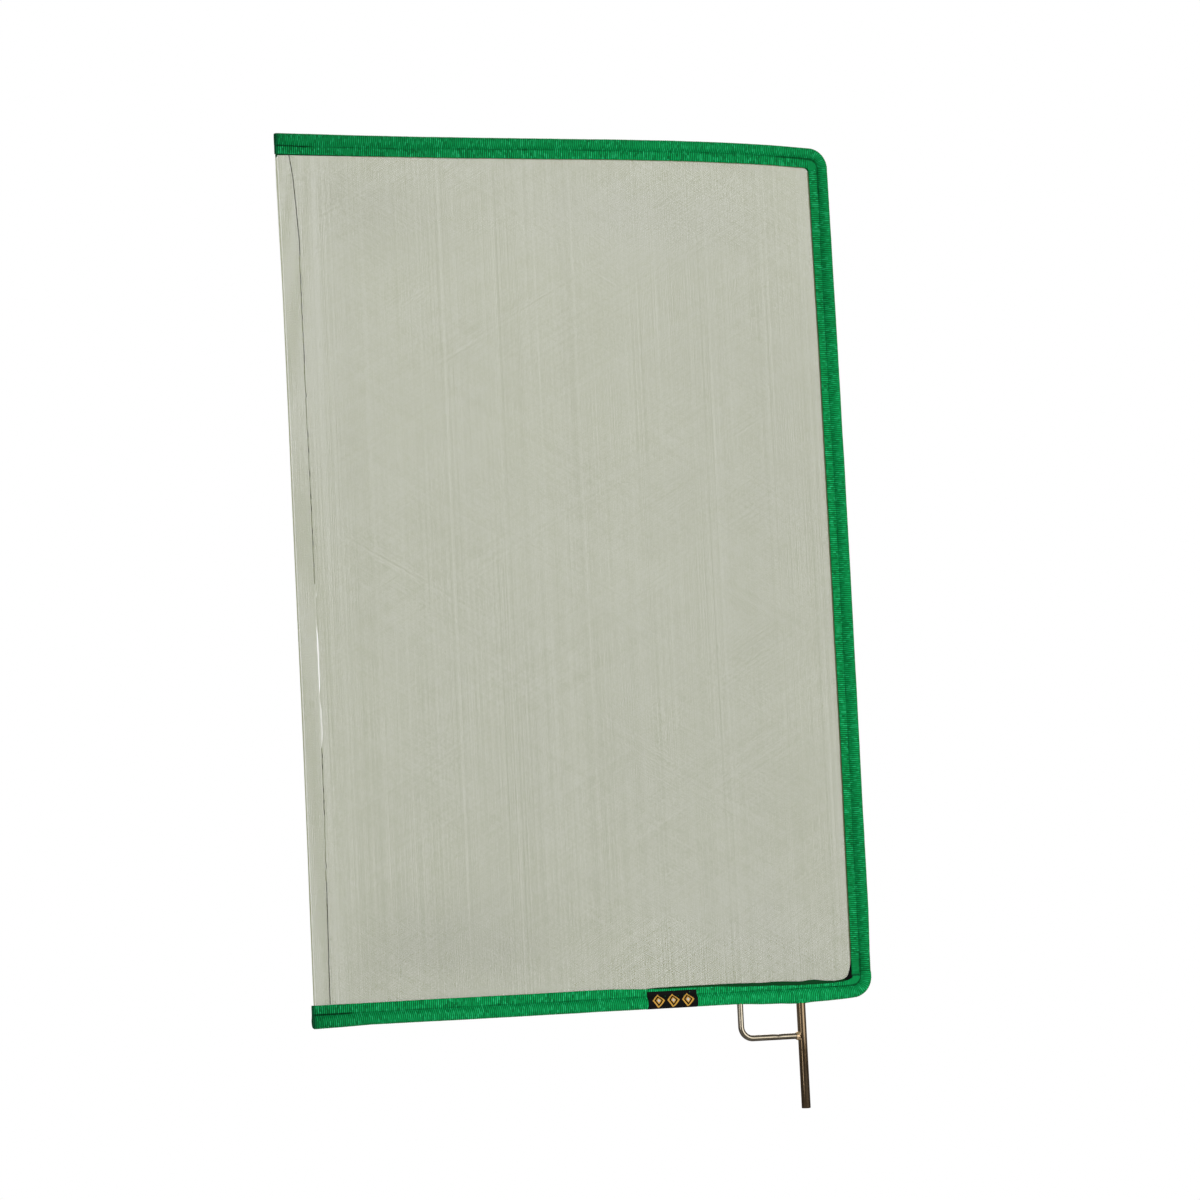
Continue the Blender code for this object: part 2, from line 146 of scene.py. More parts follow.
def blend(tree, factor, first, second, how="MIX"):
    first, second = ((*c, 1) if isinstance(c, tuple) else c for c in (first, second))
    inputs = {0: factor, 6: first, 7: second}
    return addNode(tree, "Mix", inputs, data_type="RGBA", blend_type=how).outputs[2]


def ramp(tree, factor, *stops):
    node = addNode(tree, "ValToRGB", {0: factor})
    points = node.color_ramp.elements
    while len(points) < len(stops):
        points.new(0.5)
    for point, (position, colour) in zip(points, stops):
        point.position = position
        point.color = (*colour, 1)
    return node.outputs[0]


def bump(tree, height, distance, strength):
    inputs = {"Height": height, "Distance": distance, "Strength": strength}
    return addNode(tree, "Bump", inputs).outputs[0]


def mottle(tree, place, scale, detail, roughness=0.5):
    inputs = {"Vector": place, "Scale": scale, "Detail": detail, "Roughness": roughness}
    return addNode(tree, "TexNoise", inputs).outputs[0]


def stretch(tree, place, scale):
    return addNode(tree, "VectorMath", {0: place, 1: scale}, operation="MULTIPLY").outputs[0]


def split(tree, place):
    return addNode(tree, "SeparateXYZ", {0: place}).outputs


def chance(tree, *cell):
    # one random value for each cell
    corner = addNode(tree, "CombineXYZ", dict(enumerate(cell))).outputs[0]
    return addNode(tree, "TexWhiteNoise", {"Vector": corner}, noise_dimensions="3D").outputs[0]


def wave(tree, turns):
    # a cosine between 0 and 1
    swing = calc(tree, "COSINE", times(tree, turns, math.tau))
    return scaled(tree, swing, 0.5, 0.5)


def newGroup(name, inputs, outputs):
    # each input with its kind; the outputs are all single values
    tree = bpy.data.node_groups.new(name, "ShaderNodeTree")
    for socket, kind in inputs.items():
        tree.interface.new_socket(socket, in_out="INPUT", socket_type="NodeSocket" + kind)
    for socket in outputs:
        tree.interface.new_socket(socket, in_out="OUTPUT", socket_type="NodeSocketFloat")
    return tree, tree.nodes.new("NodeGroupInput").outputs, tree.nodes.new("NodeGroupOutput")


def useGroup(tree, group, inputs):
    return addNode(tree, "Group", inputs, node_tree=group).outputs


def makeWeave():
    # ribs across a tape with fine yarns running over them, from a UV map in metres
    tree, given, out = newGroup(
        "ribbedWeave",
        {"Cloth": "Vector", "Rib pitch": "Float", "Yarn pitch": "Float"},
        ["Crest", "Yarn", "Height", "Fade", "Dash"],
    )
    cloth = split(tree, given["Cloth"])
    rib = calc(tree, "DIVIDE", cloth[0], given["Rib pitch"])
    crest = wave(tree, rib)
    yarn = calc(tree, "DIVIDE", cloth[1], given["Yarn pitch"])
    ribIndex = calc(tree, "ROUND", rib)
    brick = scaled(tree, ribIndex, 0.5, yarn)
    strand = wave(tree, brick)
    odd = chance(tree, ribIndex, calc(tree, "ROUND", brick))
    tone = times(tree, strand, scaled(tree, odd, 0.7, 0.3))
    height = times(tree, crest, scaled(tree, strand, 0.35, 0.65))
    fade = mottle(tree, given["Cloth"], 60.0, 3.0)
    # short stretches of single ribs, which the tape paints with a highlight or with shade
    own = addNode(tree, "TexWhiteNoise", {"W": ribIndex}, noise_dimensions="1D").outputs[0]
    part = calc(tree, "ADD", calc(tree, "DIVIDE", cloth[1], 0.0034), own)
    dash = chance(tree, ribIndex, calc(tree, "FLOOR", part), 7.0)
    feed(tree, out, {"Crest": crest, "Yarn": tone, "Height": height, "Fade": fade, "Dash": dash})
    return tree


def makeAging():
    # drawn steel: lengthwise streaks, blotches of brown scale and small scuffs
    tree, given, out = newGroup(
        "drawnSteel",
        {"Place": "Vector", "Streak scale": "Vector"},
        ["Streak", "Scale patch", "Scuff"],
    )
    stretched = stretch(tree, given["Place"], given["Streak scale"])
    streak = mottle(tree, stretched, 1.0, 4.0)
    patch = remap(tree, mottle(tree, given["Place"], 95.0, 5.0, 0.6), 0.42, 0.66)
    spots = addNode(tree, "TexVoronoi", {"Vector": stretched, "Scale": 2.3}).outputs["Distance"]
    scuff = remap(tree, spots, 0.0, 0.16, 1.0, 0.0)
    feed(tree, out, {"Streak": streak, "Scale patch": patch, "Scuff": scuff})
    return tree


def makeSpun():
    # twisted thread: slanted plies and a little fuzz
    tree, given, out = newGroup("spunThread", {"Place": "Vector"}, ["Ply", "Fuzz"])
    inputs = {"Vector": given["Place"], "Scale": 900.0, "Distortion": 1.5}
    bands = addNode(tree, "TexWave", inputs, wave_type="BANDS", bands_direction="DIAGONAL")
    feed(tree, out, {"Ply": bands.outputs["Fac"], "Fuzz": mottle(tree, given["Place"], 420.0, 2.0)})
    return tree


weaveGroup = makeWeave()
agingGroup = makeAging()
spunGroup = makeSpun()


def newMaterial(name, values):
    material = bpy.data.materials.new(name)
    material.use_nodes = True
    tree = material.node_tree
    return material, tree, feed(tree, tree.nodes["Principled BSDF"], values)


def newCloth(name):
    # cotton has next to no gloss of its own
    return newMaterial(name, {"Roughness": 0.85, "Specular IOR Level": 0.04})


def finish(tree, shader, colour, rough, raised):
    feed(tree, shader, {"Base Color": colour, "Roughness": rough, "Normal": raised})


def objectPlace(tree):
    return addNode(tree, "TexCoord").outputs["Object"]


def woven(tree, look):
    # the map of the flat cloth, and the weave on it
    cloth = addNode(tree, "UVMap", uv_map="cloth").outputs[0]
    sizes = {"Rib pitch": look["ribPitch"], "Yarn pitch": look["yarnPitch"]}
    return split(tree, cloth), useGroup(tree, weaveGroup, {"Cloth": cloth, **sizes})


def mark(tree, name):
    return addNode(tree, "Attribute", attribute_name=name).outputs["Fac"]


tapeLook = {
    "ribPitch": 0.0021,
    "yarnPitch": 0.00042,
    # groove is painted shade in the ribs' grooves, crest is painted light on their tops; the ribs' own
    # green lies between them
    "grooveShade": (0.0003, 0.063, 0.014),
    "crest": (0.0023, 0.346, 0.089),
    "sheenSpot": (0.015, 0.402, 0.14),
    "seamShade": (0.0002, 0.026, 0.006),
    "sealedEndShade": (0.001, 0.05, 0.018),  # the ends are cut hot; the band is also painted shade of the closed end
    "sealedEndShadeLength": 0.002,
    "plain": 0.37,  # where no ribs show
}
tapeMarks = ("seamPull", "ribShow", "lengthTone")


def makeTapeGreen():
    material, tree, shader = newCloth("tapeGreen")
    flat, weave = woven(tree, tapeLook)
    seamPull, ribShow, lengthTone = (mark(tree, name) for name in tapeMarks)
    show = times(tree, ribShow, remap(tree, weave["Fade"], 0.34, 0.58, 0.6, 1.0))
    body = calc(tree, "POWER", weave["Height"], 1.2)
    body = calc(tree, "SUBTRACT", body, tapeLook["plain"])
    body = scaled(tree, body, show, tapeLook["plain"])
    # the ribs' painted light and shade
    colour = blend(tree, body, tapeLook["grooveShade"], tapeLook["crest"])
    # painted shade: random short stretches of ribs darkened towards the grooves' shade
    dark = times(tree, remap(tree, weave["Dash"], 0.3, 0.05, 0.0, 0.45), show)
    colour = blend(tree, dark, colour, tapeLook["grooveShade"])
    glint = times(tree, remap(tree, weave["Dash"], 0.7, 0.97, 0.0, 0.75), weave["Crest"])
    colour = blend(tree, times(tree, glint, show), colour, tapeLook["sheenSpot"])
    # lighter or darker along the length, as listed in toneStops
    colour = blend(tree, 1.0, colour, lengthTone, how="MULTIPLY")
    # painted shade along the seam's crease, as strong as its mark says
    fromSeam = apart(tree, calc(tree, "ABSOLUTE", flat[1]), seamAlong)
    width = scaled(tree, seamPull, 0.0011, 0.0005)
    shade = calc(tree, "SUBTRACT", 1.0, calc(tree, "DIVIDE", fromSeam, width), clamp=True)
    shade = times(tree, calc(tree, "POWER", shade, 0.7), seamPull)
    colour = blend(tree, shade, colour, tapeLook["seamShade"])
    # a dark band at each open end: partly the hot-cut seal, partly painted shade of the closed end
    length = tapeLook["sealedEndShadeLength"]
    sealedEndShade = remap(tree, flat[0], length, length + 0.0008, 0.85, 0.0)
    colour = blend(tree, sealedEndShade, colour, tapeLook["sealedEndShade"])
    rough = scaled(tree, weave["Yarn"], -0.15, 0.75)
    raised = bump(tree, times(tree, weave["Height"], show), 0.00014, 0.6)
    finish(tree, shader, colour, rough, raised)
    return material


def makeThread(name, dark, light, roughness):
    material, tree, shader = newCloth(name)
    spun = useGroup(tree, spunGroup, {"Place": objectPlace(tree)})
    colour = blend(tree, spun["Ply"], dark, light)
    rough = scaled(tree, spun["Fuzz"], 0.2, roughness - 0.1)
    finish(tree, shader, colour, rough, bump(tree, spun["Ply"], 0.00006, 0.5))
    return material


netLook = {
    "shade": (0.216, 0.233, 0.124),
    "light": (0.321, 0.339, 0.211),
    "streakWidth": 0.006,
    "low": 0.12,
    "high": 1.02,
}


def makeNetYarn():
    # single yarns in faint lengthwise streaks, a little greyer towards the bottom
    material, tree, shader = newCloth("netYarn")
    place = objectPlace(tree)
    spun = useGroup(tree, spunGroup, {"Place": place})
    streak = mottle(tree, stretch(tree, place, (1 / netLook["streakWidth"], 1.0, 1.6)), 1.0, 4.0)
    factor = scaled(tree, spun["Fuzz"], 0.25, times(tree, streak, 0.12))
    level = remap(tree, split(tree, place)[2], netLook["low"], netLook["high"], 0.0, 0.55)
    factor = calc(tree, "ADD", factor, level)
    feed(tree, shader, {"Base Color": blend(tree, factor, netLook["shade"], netLook["light"])})
    return material


def makeSteel(name, dark, mid, light, streakScale, roughness, oil=0.0, rimShade=0.0):
    material, tree, shader = newMaterial(
        name,
        {
            "Metallic": 1.0,
            "Specular Tint": (0.5, 0.42, 0.34, 1),
            "Coat Weight": oil,
            "Coat Roughness": 0.08,
        },
    )
    aging = useGroup(tree, agingGroup, {"Place": objectPlace(tree), "Streak scale": streakScale})
    colour = ramp(tree, aging["Streak"], (0.3, dark), (0.5, mid), (0.72, light))
    colour = blend(tree, times(tree, aging["Scale patch"], 0.25), colour, dark)
    colour = blend(tree, times(tree, aging["Scuff"], 0.15), colour, light)
    # painted shade: the colour is darkened where the surface turns away from the view
    turned = addNode(tree, "LayerWeight", {"Blend": 0.5}).outputs["Facing"]
    kept = remap(tree, turned, 0.12, 0.6, 1.0, 1.0 - rimShade)
    colour = blend(tree, 1.0, colour, kept, how="MULTIPLY")
    rough = scaled(tree, aging["Scale patch"], 0.06, roughness)
    finish(tree, shader, colour, rough, bump(tree, aging["Streak"], 0.00002, 0.15))
    return material


labelLook = {
    "ground": (0.0045, 0.0045, 0.004),
    "gold": (0.56, 0.31, 0.055),
    "pale": (0.5, 0.48, 0.44),
    "margin": 0.003,  # black cloth at both ends
    "lozenges": 3,
    "centreDown": 0.0112,  # from the front's top edge
    "halfHeight": 0.0092,
    "rings": 2.0,
    "ribPitch": 0.0004,
    "yarnPitch": 0.0005,
}


def makeLabelCloth(width):
    # black ground with a row of ringed gold lozenges that have pale hearts
    material, tree, shader = newCloth("labelCloth")
    flat, weave = woven(tree, labelLook)
    margin, count = labelLook["margin"], labelLook["lozenges"]
    across = calc(tree, "SUBTRACT", flat[0], margin)
    across = calc(tree, "DIVIDE", across, (width - 2 * margin) / count)
    along = apart(tree, calc(tree, "FRACT", across), 0.5)
    down = calc(tree, "SUBTRACT", flat[1], labelLook["centreDown"])
    up = calc(tree, "ABSOLUTE", calc(tree, "DIVIDE", down, labelLook["halfHeight"]))
    reach = scaled(tree, along, 2.08, up)
    rings = calc(tree, "PINGPONG", times(tree, reach, labelLook["rings"]), 0.5)
    fromMiddle = apart(tree, across, count / 2)
    inside = calc(tree, "LESS_THAN", fromMiddle, count / 2)
    inside = times(tree, inside, calc(tree, "LESS_THAN", reach, 1.0))
    gold = times(tree, remap(tree, rings, 0.2, 0.3), inside)
    heart = times(tree, calc(tree, "LESS_THAN", reach, 0.2), inside)
    colour = blend(tree, gold, labelLook["ground"], labelLook["gold"])
    colour = blend(tree, heart, colour, labelLook["pale"])
    colour = blend(tree, 0.3, colour, weave["Height"], how="MULTIPLY")
    rough = scaled(tree, weave["Yarn"], -0.2, 0.75)
    finish(tree, shader, colour, rough, bump(tree, weave["Height"], 0.00008, 0.7))
    return material


def addPiece(name, bm, material, node, smooth=True):
    # node is the CAD piece that this one takes the place of
    bm.normal_update()
    for face in bm.faces:
        face.smooth = smooth
    mesh = bpy.data.meshes.new(name)
    bm.to_mesh(mesh)
    bm.free()
    piece = bpy.data.objects.new(name, mesh)
    bpy.context.collection.objects.link(piece)
    mesh.materials.append(material)
    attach(piece, "root")
    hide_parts(node)
    return piece


def thicken(piece, thickness):
    wall = piece.modifiers.new("wall", "SOLIDIFY")
    wall.thickness = thickness
    wall.offset = -1
    wall.use_even_offset = False


def clothGrid(columns, rows, place, marks=()):
    # a grid whose vertices go where place(i, j) says; place gives a point, its spot on the flat
    # cloth and then a value for each mark
    bm = bmesh.new()
    bmesh.ops.create_grid(bm, x_segments=columns, y_segments=rows, size=1)
    markLayers = [bm.verts.layers.float.new(name) for name in marks]
    spots = {}
    for vert in bm.verts:
        i = round((vert.co.x + 1) / 2 * columns)
        j = round((vert.co.y + 1) / 2 * rows)
        vert.co, spots[vert], *values = place(i, j)
        for markLayer, value in zip(markLayers, values):
            vert[markLayer] = value
    layer = bm.loops.layers.uv.new("cloth")
    for face in bm.faces:
        for loop in face.loops:
            loop[layer].uv = spots[loop.vert]
    return bm


def faceOutwards(bm, isOut):
    # isOut(face) looks at one face and says whether its normal points out of the cloth
    bm.normal_update()
    bm.faces.ensure_lookup_table()
    if not isOut(bm.faces[len(bm.faces) // 2]):
        bmesh.ops.reverse_faces(bm, faces=bm.faces[:])


def outOfFold(face):
    # front and back of a fold both face away from its middle
    return face.normal.y * face.calc_center_median().y > 0


def sweep(name, rows, radius, sides=8):
    # round tubes along rows of points, as one bmesh
    curve = bpy.data.curves.new(name, "CURVE")
    curve.dimensions = "3D"
    curve.bevel_depth = radius
    curve.bevel_resolution = max(0, sides // 2 - 2)
    curve.use_fill_caps = True
    for points in rows:
        spline = curve.splines.new("POLY")
        spline.points.add(len(points) - 1)
        for spot, point in zip(spline.points, points):
            spot.co = (*point, 1)
    holder = bpy.data.objects.new(name, curve)
    bpy.context.collection.objects.link(holder)
    bpy.context.view_layer.update()
    graph = bpy.context.evaluated_depsgraph_get()
    made = bpy.data.meshes.new_from_object(holder.evaluated_get(graph))
    bm = bmesh.new()
    bm.from_mesh(made)
    bmesh.ops.remove_doubles(bm, verts=bm.verts[:], dist=1e-6)
    bpy.data.objects.remove(holder)
    bpy.data.curves.remove(curve)
    bpy.data.meshes.remove(made)
    return bm


tape = {
    "topStart": openX - 0.0041,  # the open ends are cut by hand
    "bottomStart": openX - 0.0008,
    "thickness": 0.0008,
    "pocket": 0.0058625,  # outside radius over the rod
    "step": 0.0007,  # three columns for each rib
    "ribHeight": 0.00022,
    "flatRibs": 1.35,  # ribs show more where the cloth lies flat
    "seamInset": 0.0066375,
    "edgeInset": 0.0161375,
    "seamWander": 0.0007,
    "pucker": 0.00016,
    "puckerPitch": 0.0066,
    "stitchPitch": 0.0033,
    "stitchDip": 0.00025,
    "edgeWave": 0.00035,
    "slant": 0.0014,  # ribs lean this far over the rod
    "leanReach": 0.0085,
    "seamReach": 0.0032,  # how far from the seam the cloth still follows it
    "puckerReach": 0.0028,
    "unevenness": 0.00016,
    "splitDrop": 0.0201375,  # where the side's length takes over, from the arm's axis
    "tuck": 0.004,  # the side's ends go under the arms' lengths
    "tuckSink": 0.0009,
    "tuckShrink": 0.09,
    "tailWidth": 0.0009,  # the arms' flanges end in a narrow tail under the side's
    "tailSink": 0.0007,
    "tailRun": 0.001,
    "endRound": 0.003,
}
tapeStart = {1: tape["topStart"], -1: tape["bottomStart"]}
tapeSeeds = {1: 3, -1: 11, 0: 23}  # top, bottom and side

# the front flange's section, in millimetres: how far in from the rod's axis, and how far to the front
flangeFold = [
    (16.14, 1.8), (14.6, 1.86), (13.05, 1.88), (11.5, 1.9), (9.95, 1.9), (8.4, 1.88),
    (7.4, 1.78), (6.64, 1.5), (6.1, 1.85), (5.55, 2.5), (5.0, 3.2),
]
tapeFold = [(u / 1000, w / 1000) for u, w in flangeFold]
for angle in range(400, 1801, 175):
    turn = math.radians(angle / 10)
    tapeFold.append((tape["pocket"] * math.cos(turn), tape["pocket"] * math.sin(turn)))
tapeFold += [(u, -w) for u, w in reversed(tapeFold[:-1])]


def lengthAlong(fold):
    along = [0.0]
    for a, b in zip(fold, fold[1:]):
        along.append(along[-1] + math.dist(a, b))
    return along


def outOf(fold):
    # the direction that points out of the cloth at each point of a section
    directions = []
    for (u0, w0), (u1, w1) in zip(fold[:1] + fold, fold[1:] + fold[-1:]):
        span = math.hypot(u1 - u0, w1 - w0)
        directions.append(((w1 - w0) / span, (u0 - u1) / span))
    return directions


foldOut = outOf(tapeFold)
foldAlong = lengthAlong(tapeFold)
foldAlong = [v - foldAlong[len(tapeFold) // 2] for v in foldAlong]
seamIndex = 7
seamAlong = -foldAlong[seamIndex]


# along each length: how strongly the seam is darkened with painted shade, and how much lighter or darker
# the tape is
seamStops = {
    1: [(-0.4945, 0.9), (-0.4915, 0.28), (0.016, 0.28), (0.024, 0.8), (0.056, 0.95), (0.064, 1.0)],
    -1: [
        (-0.489, 0.9), (-0.486, 0.26), (-0.016, 0.26), (-0.0137, 0.8), (0.0068, 0.7), (0.01, 0.3),
        (0.021, 0.3), (0.0228, 0.95), (0.039, 0.85), (0.044, 0.4), (0.054, 0.5), (0.058, 0.95),
    ],
    0: [(0.14, 1.0), (0.16, 0.95), (0.166, 0.28), (0.955, 0.28), (0.972, 0.75), (0.988, 0.9)],
}
toneStops = {
    1: [
        (-0.52, 0.81), (-0.42, 0.86), (-0.33, 0.93), (-0.25, 0.96), (-0.2, 1.0), (-0.11, 1.05),
        (-0.02, 0.99), (0.02, 1.04), (0.06, 0.99),
    ],
    -1: [
        (-0.52, 0.78), (-0.46, 0.98), (-0.4, 1.07), (-0.33, 1.08), (-0.25, 1.06), (-0.2, 1.15),
        (-0.15, 1.19), (-0.1, 1.23), (0.04, 1.23), (0.06, 1.1),
    ],
    0: [
        (0.145, 0.93), (0.18, 0.98), (0.29, 0.99), (0.355, 1.03), (0.55, 1.06), (0.745, 1.07), (0.81, 1.03),
        (0.864, 0.97), (0.95, 0.95), (1.0, 0.99),
    ],
}
# how plainly the ribs show
ribStops = {
    1: [(0.0575, 1.0), (0.06, 0.12)],
    -1: [(0.0535, 1.0), (0.057, 0.12)],
    0: [(0.15, 0.2), (0.16, 1.0)],
}


# how strong the painted shade along the seam is, wandering along the length
def seamPull(run, at, seed):
    pull = between(seamStops[run], at) + 0.55 * drift(at, seed, 0.02) + 0.4 * drift(at, seed + 2, 0.006)
    return max(0.0, min(1.0, pull))


def cornerRoute(sign, s, u):
    # place of a point this far inside the rod's axis, s along a length that turns the corner
    level = topAt if sign > 0 else bottomAt
    radius = steel["bendRadius"]
    x = tapeStart[sign] + s
    if x <= bendX:
        return x, level(x) - sign * u
    turn = (x - bendX) / radius
    centreZ = level(bendX) - sign * radius
    if turn < math.pi / 2:
        return bendX + (radius - u) * math.sin(turn), centreZ + sign * (radius - u) * math.cos(turn)
    return sideX - u, centreZ - sign * (turn - math.pi / 2) * radius


armLength = {sign: bendX - start for sign, start in tapeStart.items()}
arcLength = steel["bendRadius"] * math.pi / 2
pastArc = tape["splitDrop"] - steel["bendRadius"]
cornerLength = {sign: length + arcLength + pastArc for sign, length in armLength.items()}

# the flange's tab beside the side's seam, as x and drop from the arm's axis
tabCorners = {
    1: [(bendX, 0.019), (0.0604, 0.0197), (0.0652, 0.0188), (0.0668, 0.0175), (0.068, 0.0159)],
    -1: [(bendX, 0.015), (0.0605, 0.0166), (0.0658, 0.017), (0.0672, 0.0166), (0.068, 0.0159)],
}
# how far in the flange reaches
flangeStops = {
    1: [(0.055, 0.01614), (0.0582, 0.0168), (bendX, 0.019)],
    -1: [
        (-0.21, 0.01614), (-0.168, 0.0144), (-0.157, 0.0139), (-0.12, 0.0137), (-0.09, 0.0134),
        (-0.079, 0.0127), (-0.07, 0.0121), (-0.05, 0.0116), (-0.03, 0.0114), (-0.024, 0.0108),
        (-0.004, 0.0103), (0.015, 0.0101), (0.03, 0.0102), (0.037, 0.0104), (0.048, 0.0113),
        (0.052, 0.0121), (0.0555, 0.0129), (0.059, 0.0144), (bendX, 0.015),
    ],
}


def tabOutline(sign, q):
    # edge of the tab, from the bend round to the side's seam, q from 0 to 1
    corners = tabCorners[sign]
    spans = [math.dist(a, b) for a, b in zip(corners, corners[1:])]
    left = q * sum(spans)
    for a, b, step in zip(corners, corners[1:], spans):
        if left <= step or b is corners[-1]:
            t = min(left / step, 1)
            return a[0] + (b[0] - a[0]) * t, a[1] + (b[1] - a[1]) * t
        left -= step


# how far the cloth stands off the outside of the rod
pocketSlack = {
    1: [(0.0, 0.0)],
    -1: [
        (-0.528, 0.0016), (-0.505, 0.0012), (-0.47, 0.0), (-0.38, 0.0004), (-0.25, 0.0003),
        (-0.115, 0.0002), (-0.07, 0.0003), (-0.059, 0.0009), (-0.046, 0.0017), (-0.024, 0.0021),
        (-0.012, 0.0031), (0.004, 0.0033), (0.01, 0.0027), (0.017, 0.0023), (0.031, 0.0021),
        (0.05, 0.0012), (bendX, 0.0005),
    ],
    0: [(0.16, 0.0), (0.205, 0.0009), (0.24, 0.0006), (0.33, 0.0)],
}


def onFlange(j):
    return j < seamIndex or j > len(tapeFold) - 1 - seamIndex


def relief(s, j, seed, ribs, i):
    # how far the cloth stands out of its plain fold here
    rib = (1.0 if i % 3 == 0 else 0.25) * ribs[i // 3] * tape["ribHeight"]
    fromSeam = abs(abs(foldAlong[j]) - seamAlong)
    rib *= 1.0 + 0.7 * noise.noise(Vector((i // 3 * 0.37, foldAlong[j] / 0.004, seed)))
    rib *= min(1.0, 0.35 + fromSeam / 0.0015)
    phase = math.tau * s / tape["puckerPitch"] + 3 * drift(s, seed, 0.05)
    strength = 1 + 0.8 * drift(s, seed + 3, 0.03)
    pucker = tape["pucker"] * strength * math.cos(phase) * math.exp(-fromSeam / tape["puckerReach"])
    slack = tape["unevenness"] * noise.noise(Vector((s / 0.03, foldAlong[j] / 0.008, seed + 0.5)))
    if j in (seamIndex, len(tapeFold) - 1 - seamIndex):
        dip = 0.5 + 0.5 * math.cos(math.tau * s / tape["stitchPitch"])
        return 0.0, rib - tape["stitchDip"] * dip
    return rib, pucker + slack


# how much deeper than the plain inset each seam was sewn
seamDeep = {
    1: [(-0.525, 0.0003), (-0.505, 0.0011), (-0.385, 0.0009), (-0.35, 0.0)],
    -1: [(0.0, 0.0)],
    0: [(0.15, 0.0002), (0.2, 0.0007), (0.92, 0.0007), (0.97, 0.0)],
}


def seamShift(run, at):
    # the seam runs a little in and out
    seed = tapeSeeds[run]
    wander = drift(at, seed + 5, 0.11) + 0.3 * drift(at, seed + 6, 0.025)
    return between(seamDeep[run], at) + tape["seamWander"] * wander


def makeTape(run, length, spot, place0):
    # spot(s, u, w, j) places a point of the fold on the flag; place0 is where s starts on its run
    seed = tapeSeeds[run]
    columns = 3 * round(length / tape["step"] / 3)
    rng = random.Random(seed)
    ribs = [rng.uniform(0.7, 1.25) for _ in range(columns // 3 + 2)]
    lean = [math.exp(-((v / tape["leanReach"]) ** 2)) for v in foldAlong]
    nearSeam = [math.exp(-(((abs(v) - seamAlong) / tape["seamReach"]) ** 2)) for v in foldAlong]

    def place(i, j):
        u, w = tapeFold[j]
        s = i * length / columns
        at = place0 + s
        ribShow = between(ribStops[run], at) * tape["flatRibs"] if onFlange(j) else 1.0
        rib, rest = relief(s, j, seed, ribs, i)
        off = rib * ribShow + rest
        slack = between(pocketSlack[run], at) * min(0.0, u) / tape["pocket"]
        u += foldOut[j][0] * off + nearSeam[j] * seamShift(run, at) + slack
        w += foldOut[j][1] * off
        if j in (0, len(tapeFold) - 1):
            u += tape["edgeWave"] * (drift(s, seed, 0.06) + 0.3 * drift(s, seed, 0.012))
        ends = min(1.0, s / 0.01, (length - s) / 0.01)
        shift = tape["slant"] * lean[j] * ends * (0.6 + drift(s, seed + 9, 0.08))
        flat = (i / 3 * tapeLook["ribPitch"], foldAlong[j])
        tone = between(toneStops[run], at)
        return spot(s + shift, u, w, j), flat, seamPull(run, at, seed), ribShow, tone

    bm = clothGrid(columns, len(tapeFold) - 1, place, tapeMarks)
    faceOutwards(bm, outOfFold)
    return bm


# the open ends are pressed shut beyond the rod: how thick is left, along the length
endPress = {
    1: [(0.0, 0.14), (0.0012, 0.5), (0.0032, 1.0)],
    -1: [(0.0, 0.35), (0.0004, 0.8), (0.0008, 1.0)],
}
endCorner = {1: 0.16, -1: 0.35}  # how far the rod's side of the end is rounded off


def makeCornerTape(sign):
    def spot(s, u, w, j):
        flange = (u - tape["seamInset"]) / (tape["edgeInset"] - tape["seamInset"])
        w *= between(endPress[sign], s)
        if u < 0 and s < tape["endRound"]:
            fromEnd = 1 - s / tape["endRound"]
            u *= 1 - endCorner[sign] * (1 - math.sqrt(max(0.0, 1 - fromEnd**2)))
        if not onFlange(j) or s <= armLength[sign]:
            if onFlange(j):
                reach = between(flangeStops[sign], tapeStart[sign] + s) - tape["seamInset"]
                u = tape["seamInset"] + flange * reach
            x, z = cornerRoute(sign, s, u)
        elif s <= armLength[sign] + arcLength:
            x0, z0 = cornerRoute(sign, s, tape["seamInset"])
            x1, drop = tabOutline(sign, (s - armLength[sign]) / arcLength)
            z1 = (topZ if sign > 0 else bottomZ) - sign * drop
            x, z = x0 + (x1 - x0) * flange, z0 + (z1 - z0) * flange
        else:
            into = min(1.0, (s - armLength[sign] - arcLength) / tape["tailRun"])
            x, z = cornerRoute(sign, s, tape["seamInset"] + tape["tailWidth"] * flange)
            w -= math.copysign(tape["tailSink"] * into * flange, w)
        return Vector((x, -w, z))

    return makeTape(sign, cornerLength[sign], spot, tapeStart[sign])


sideLow = bottomZ + tape["splitDrop"]
sideHigh = topZ - tape["splitDrop"]


def makeSideTape():
    tuck = tape["tuck"]
    length = sideHigh - sideLow + 2 * tuck

    def spot(s, u, w, j):
        under = min(1.0, 4 * max(0.0, 1 - min(s, length - s) / (1.15 * tuck)))
        z = sideLow - tuck + s
        if onFlange(j):
            w -= math.copysign(tape["tuckSink"] * under, w)
        else:
            left = 1 - tape["tuckShrink"] * under
            u, w = u * left, w * left
        return Vector((sideAt(z) - u, -w, z))

    return makeTape(0, length, spot, sideLow - tuck)


def cutHole(bm, x, radius):
    # opens the underside of the bottom tape round a rod and draws its rim down like a short sleeve
    sleeve = radius + tape["thickness"]
    opened = 0.35 * radius  # the faces inside this go, the rest make room for the rod

    def away(co):
        return math.hypot(co.x - x, co.y) if co.z < bottomAt(x) else math.inf

    gone = [f for f in bm.faces if away(f.calc_center_median()) < opened]
    bmesh.ops.delete(bm, geom=gone, context="FACES")
    for vert in bm.verts:
        reach = away(vert.co)
        if reach < sleeve:
            vert.co.x = x + (vert.co.x - x) * sleeve / reach
            vert.co.y = vert.co.y * sleeve / reach


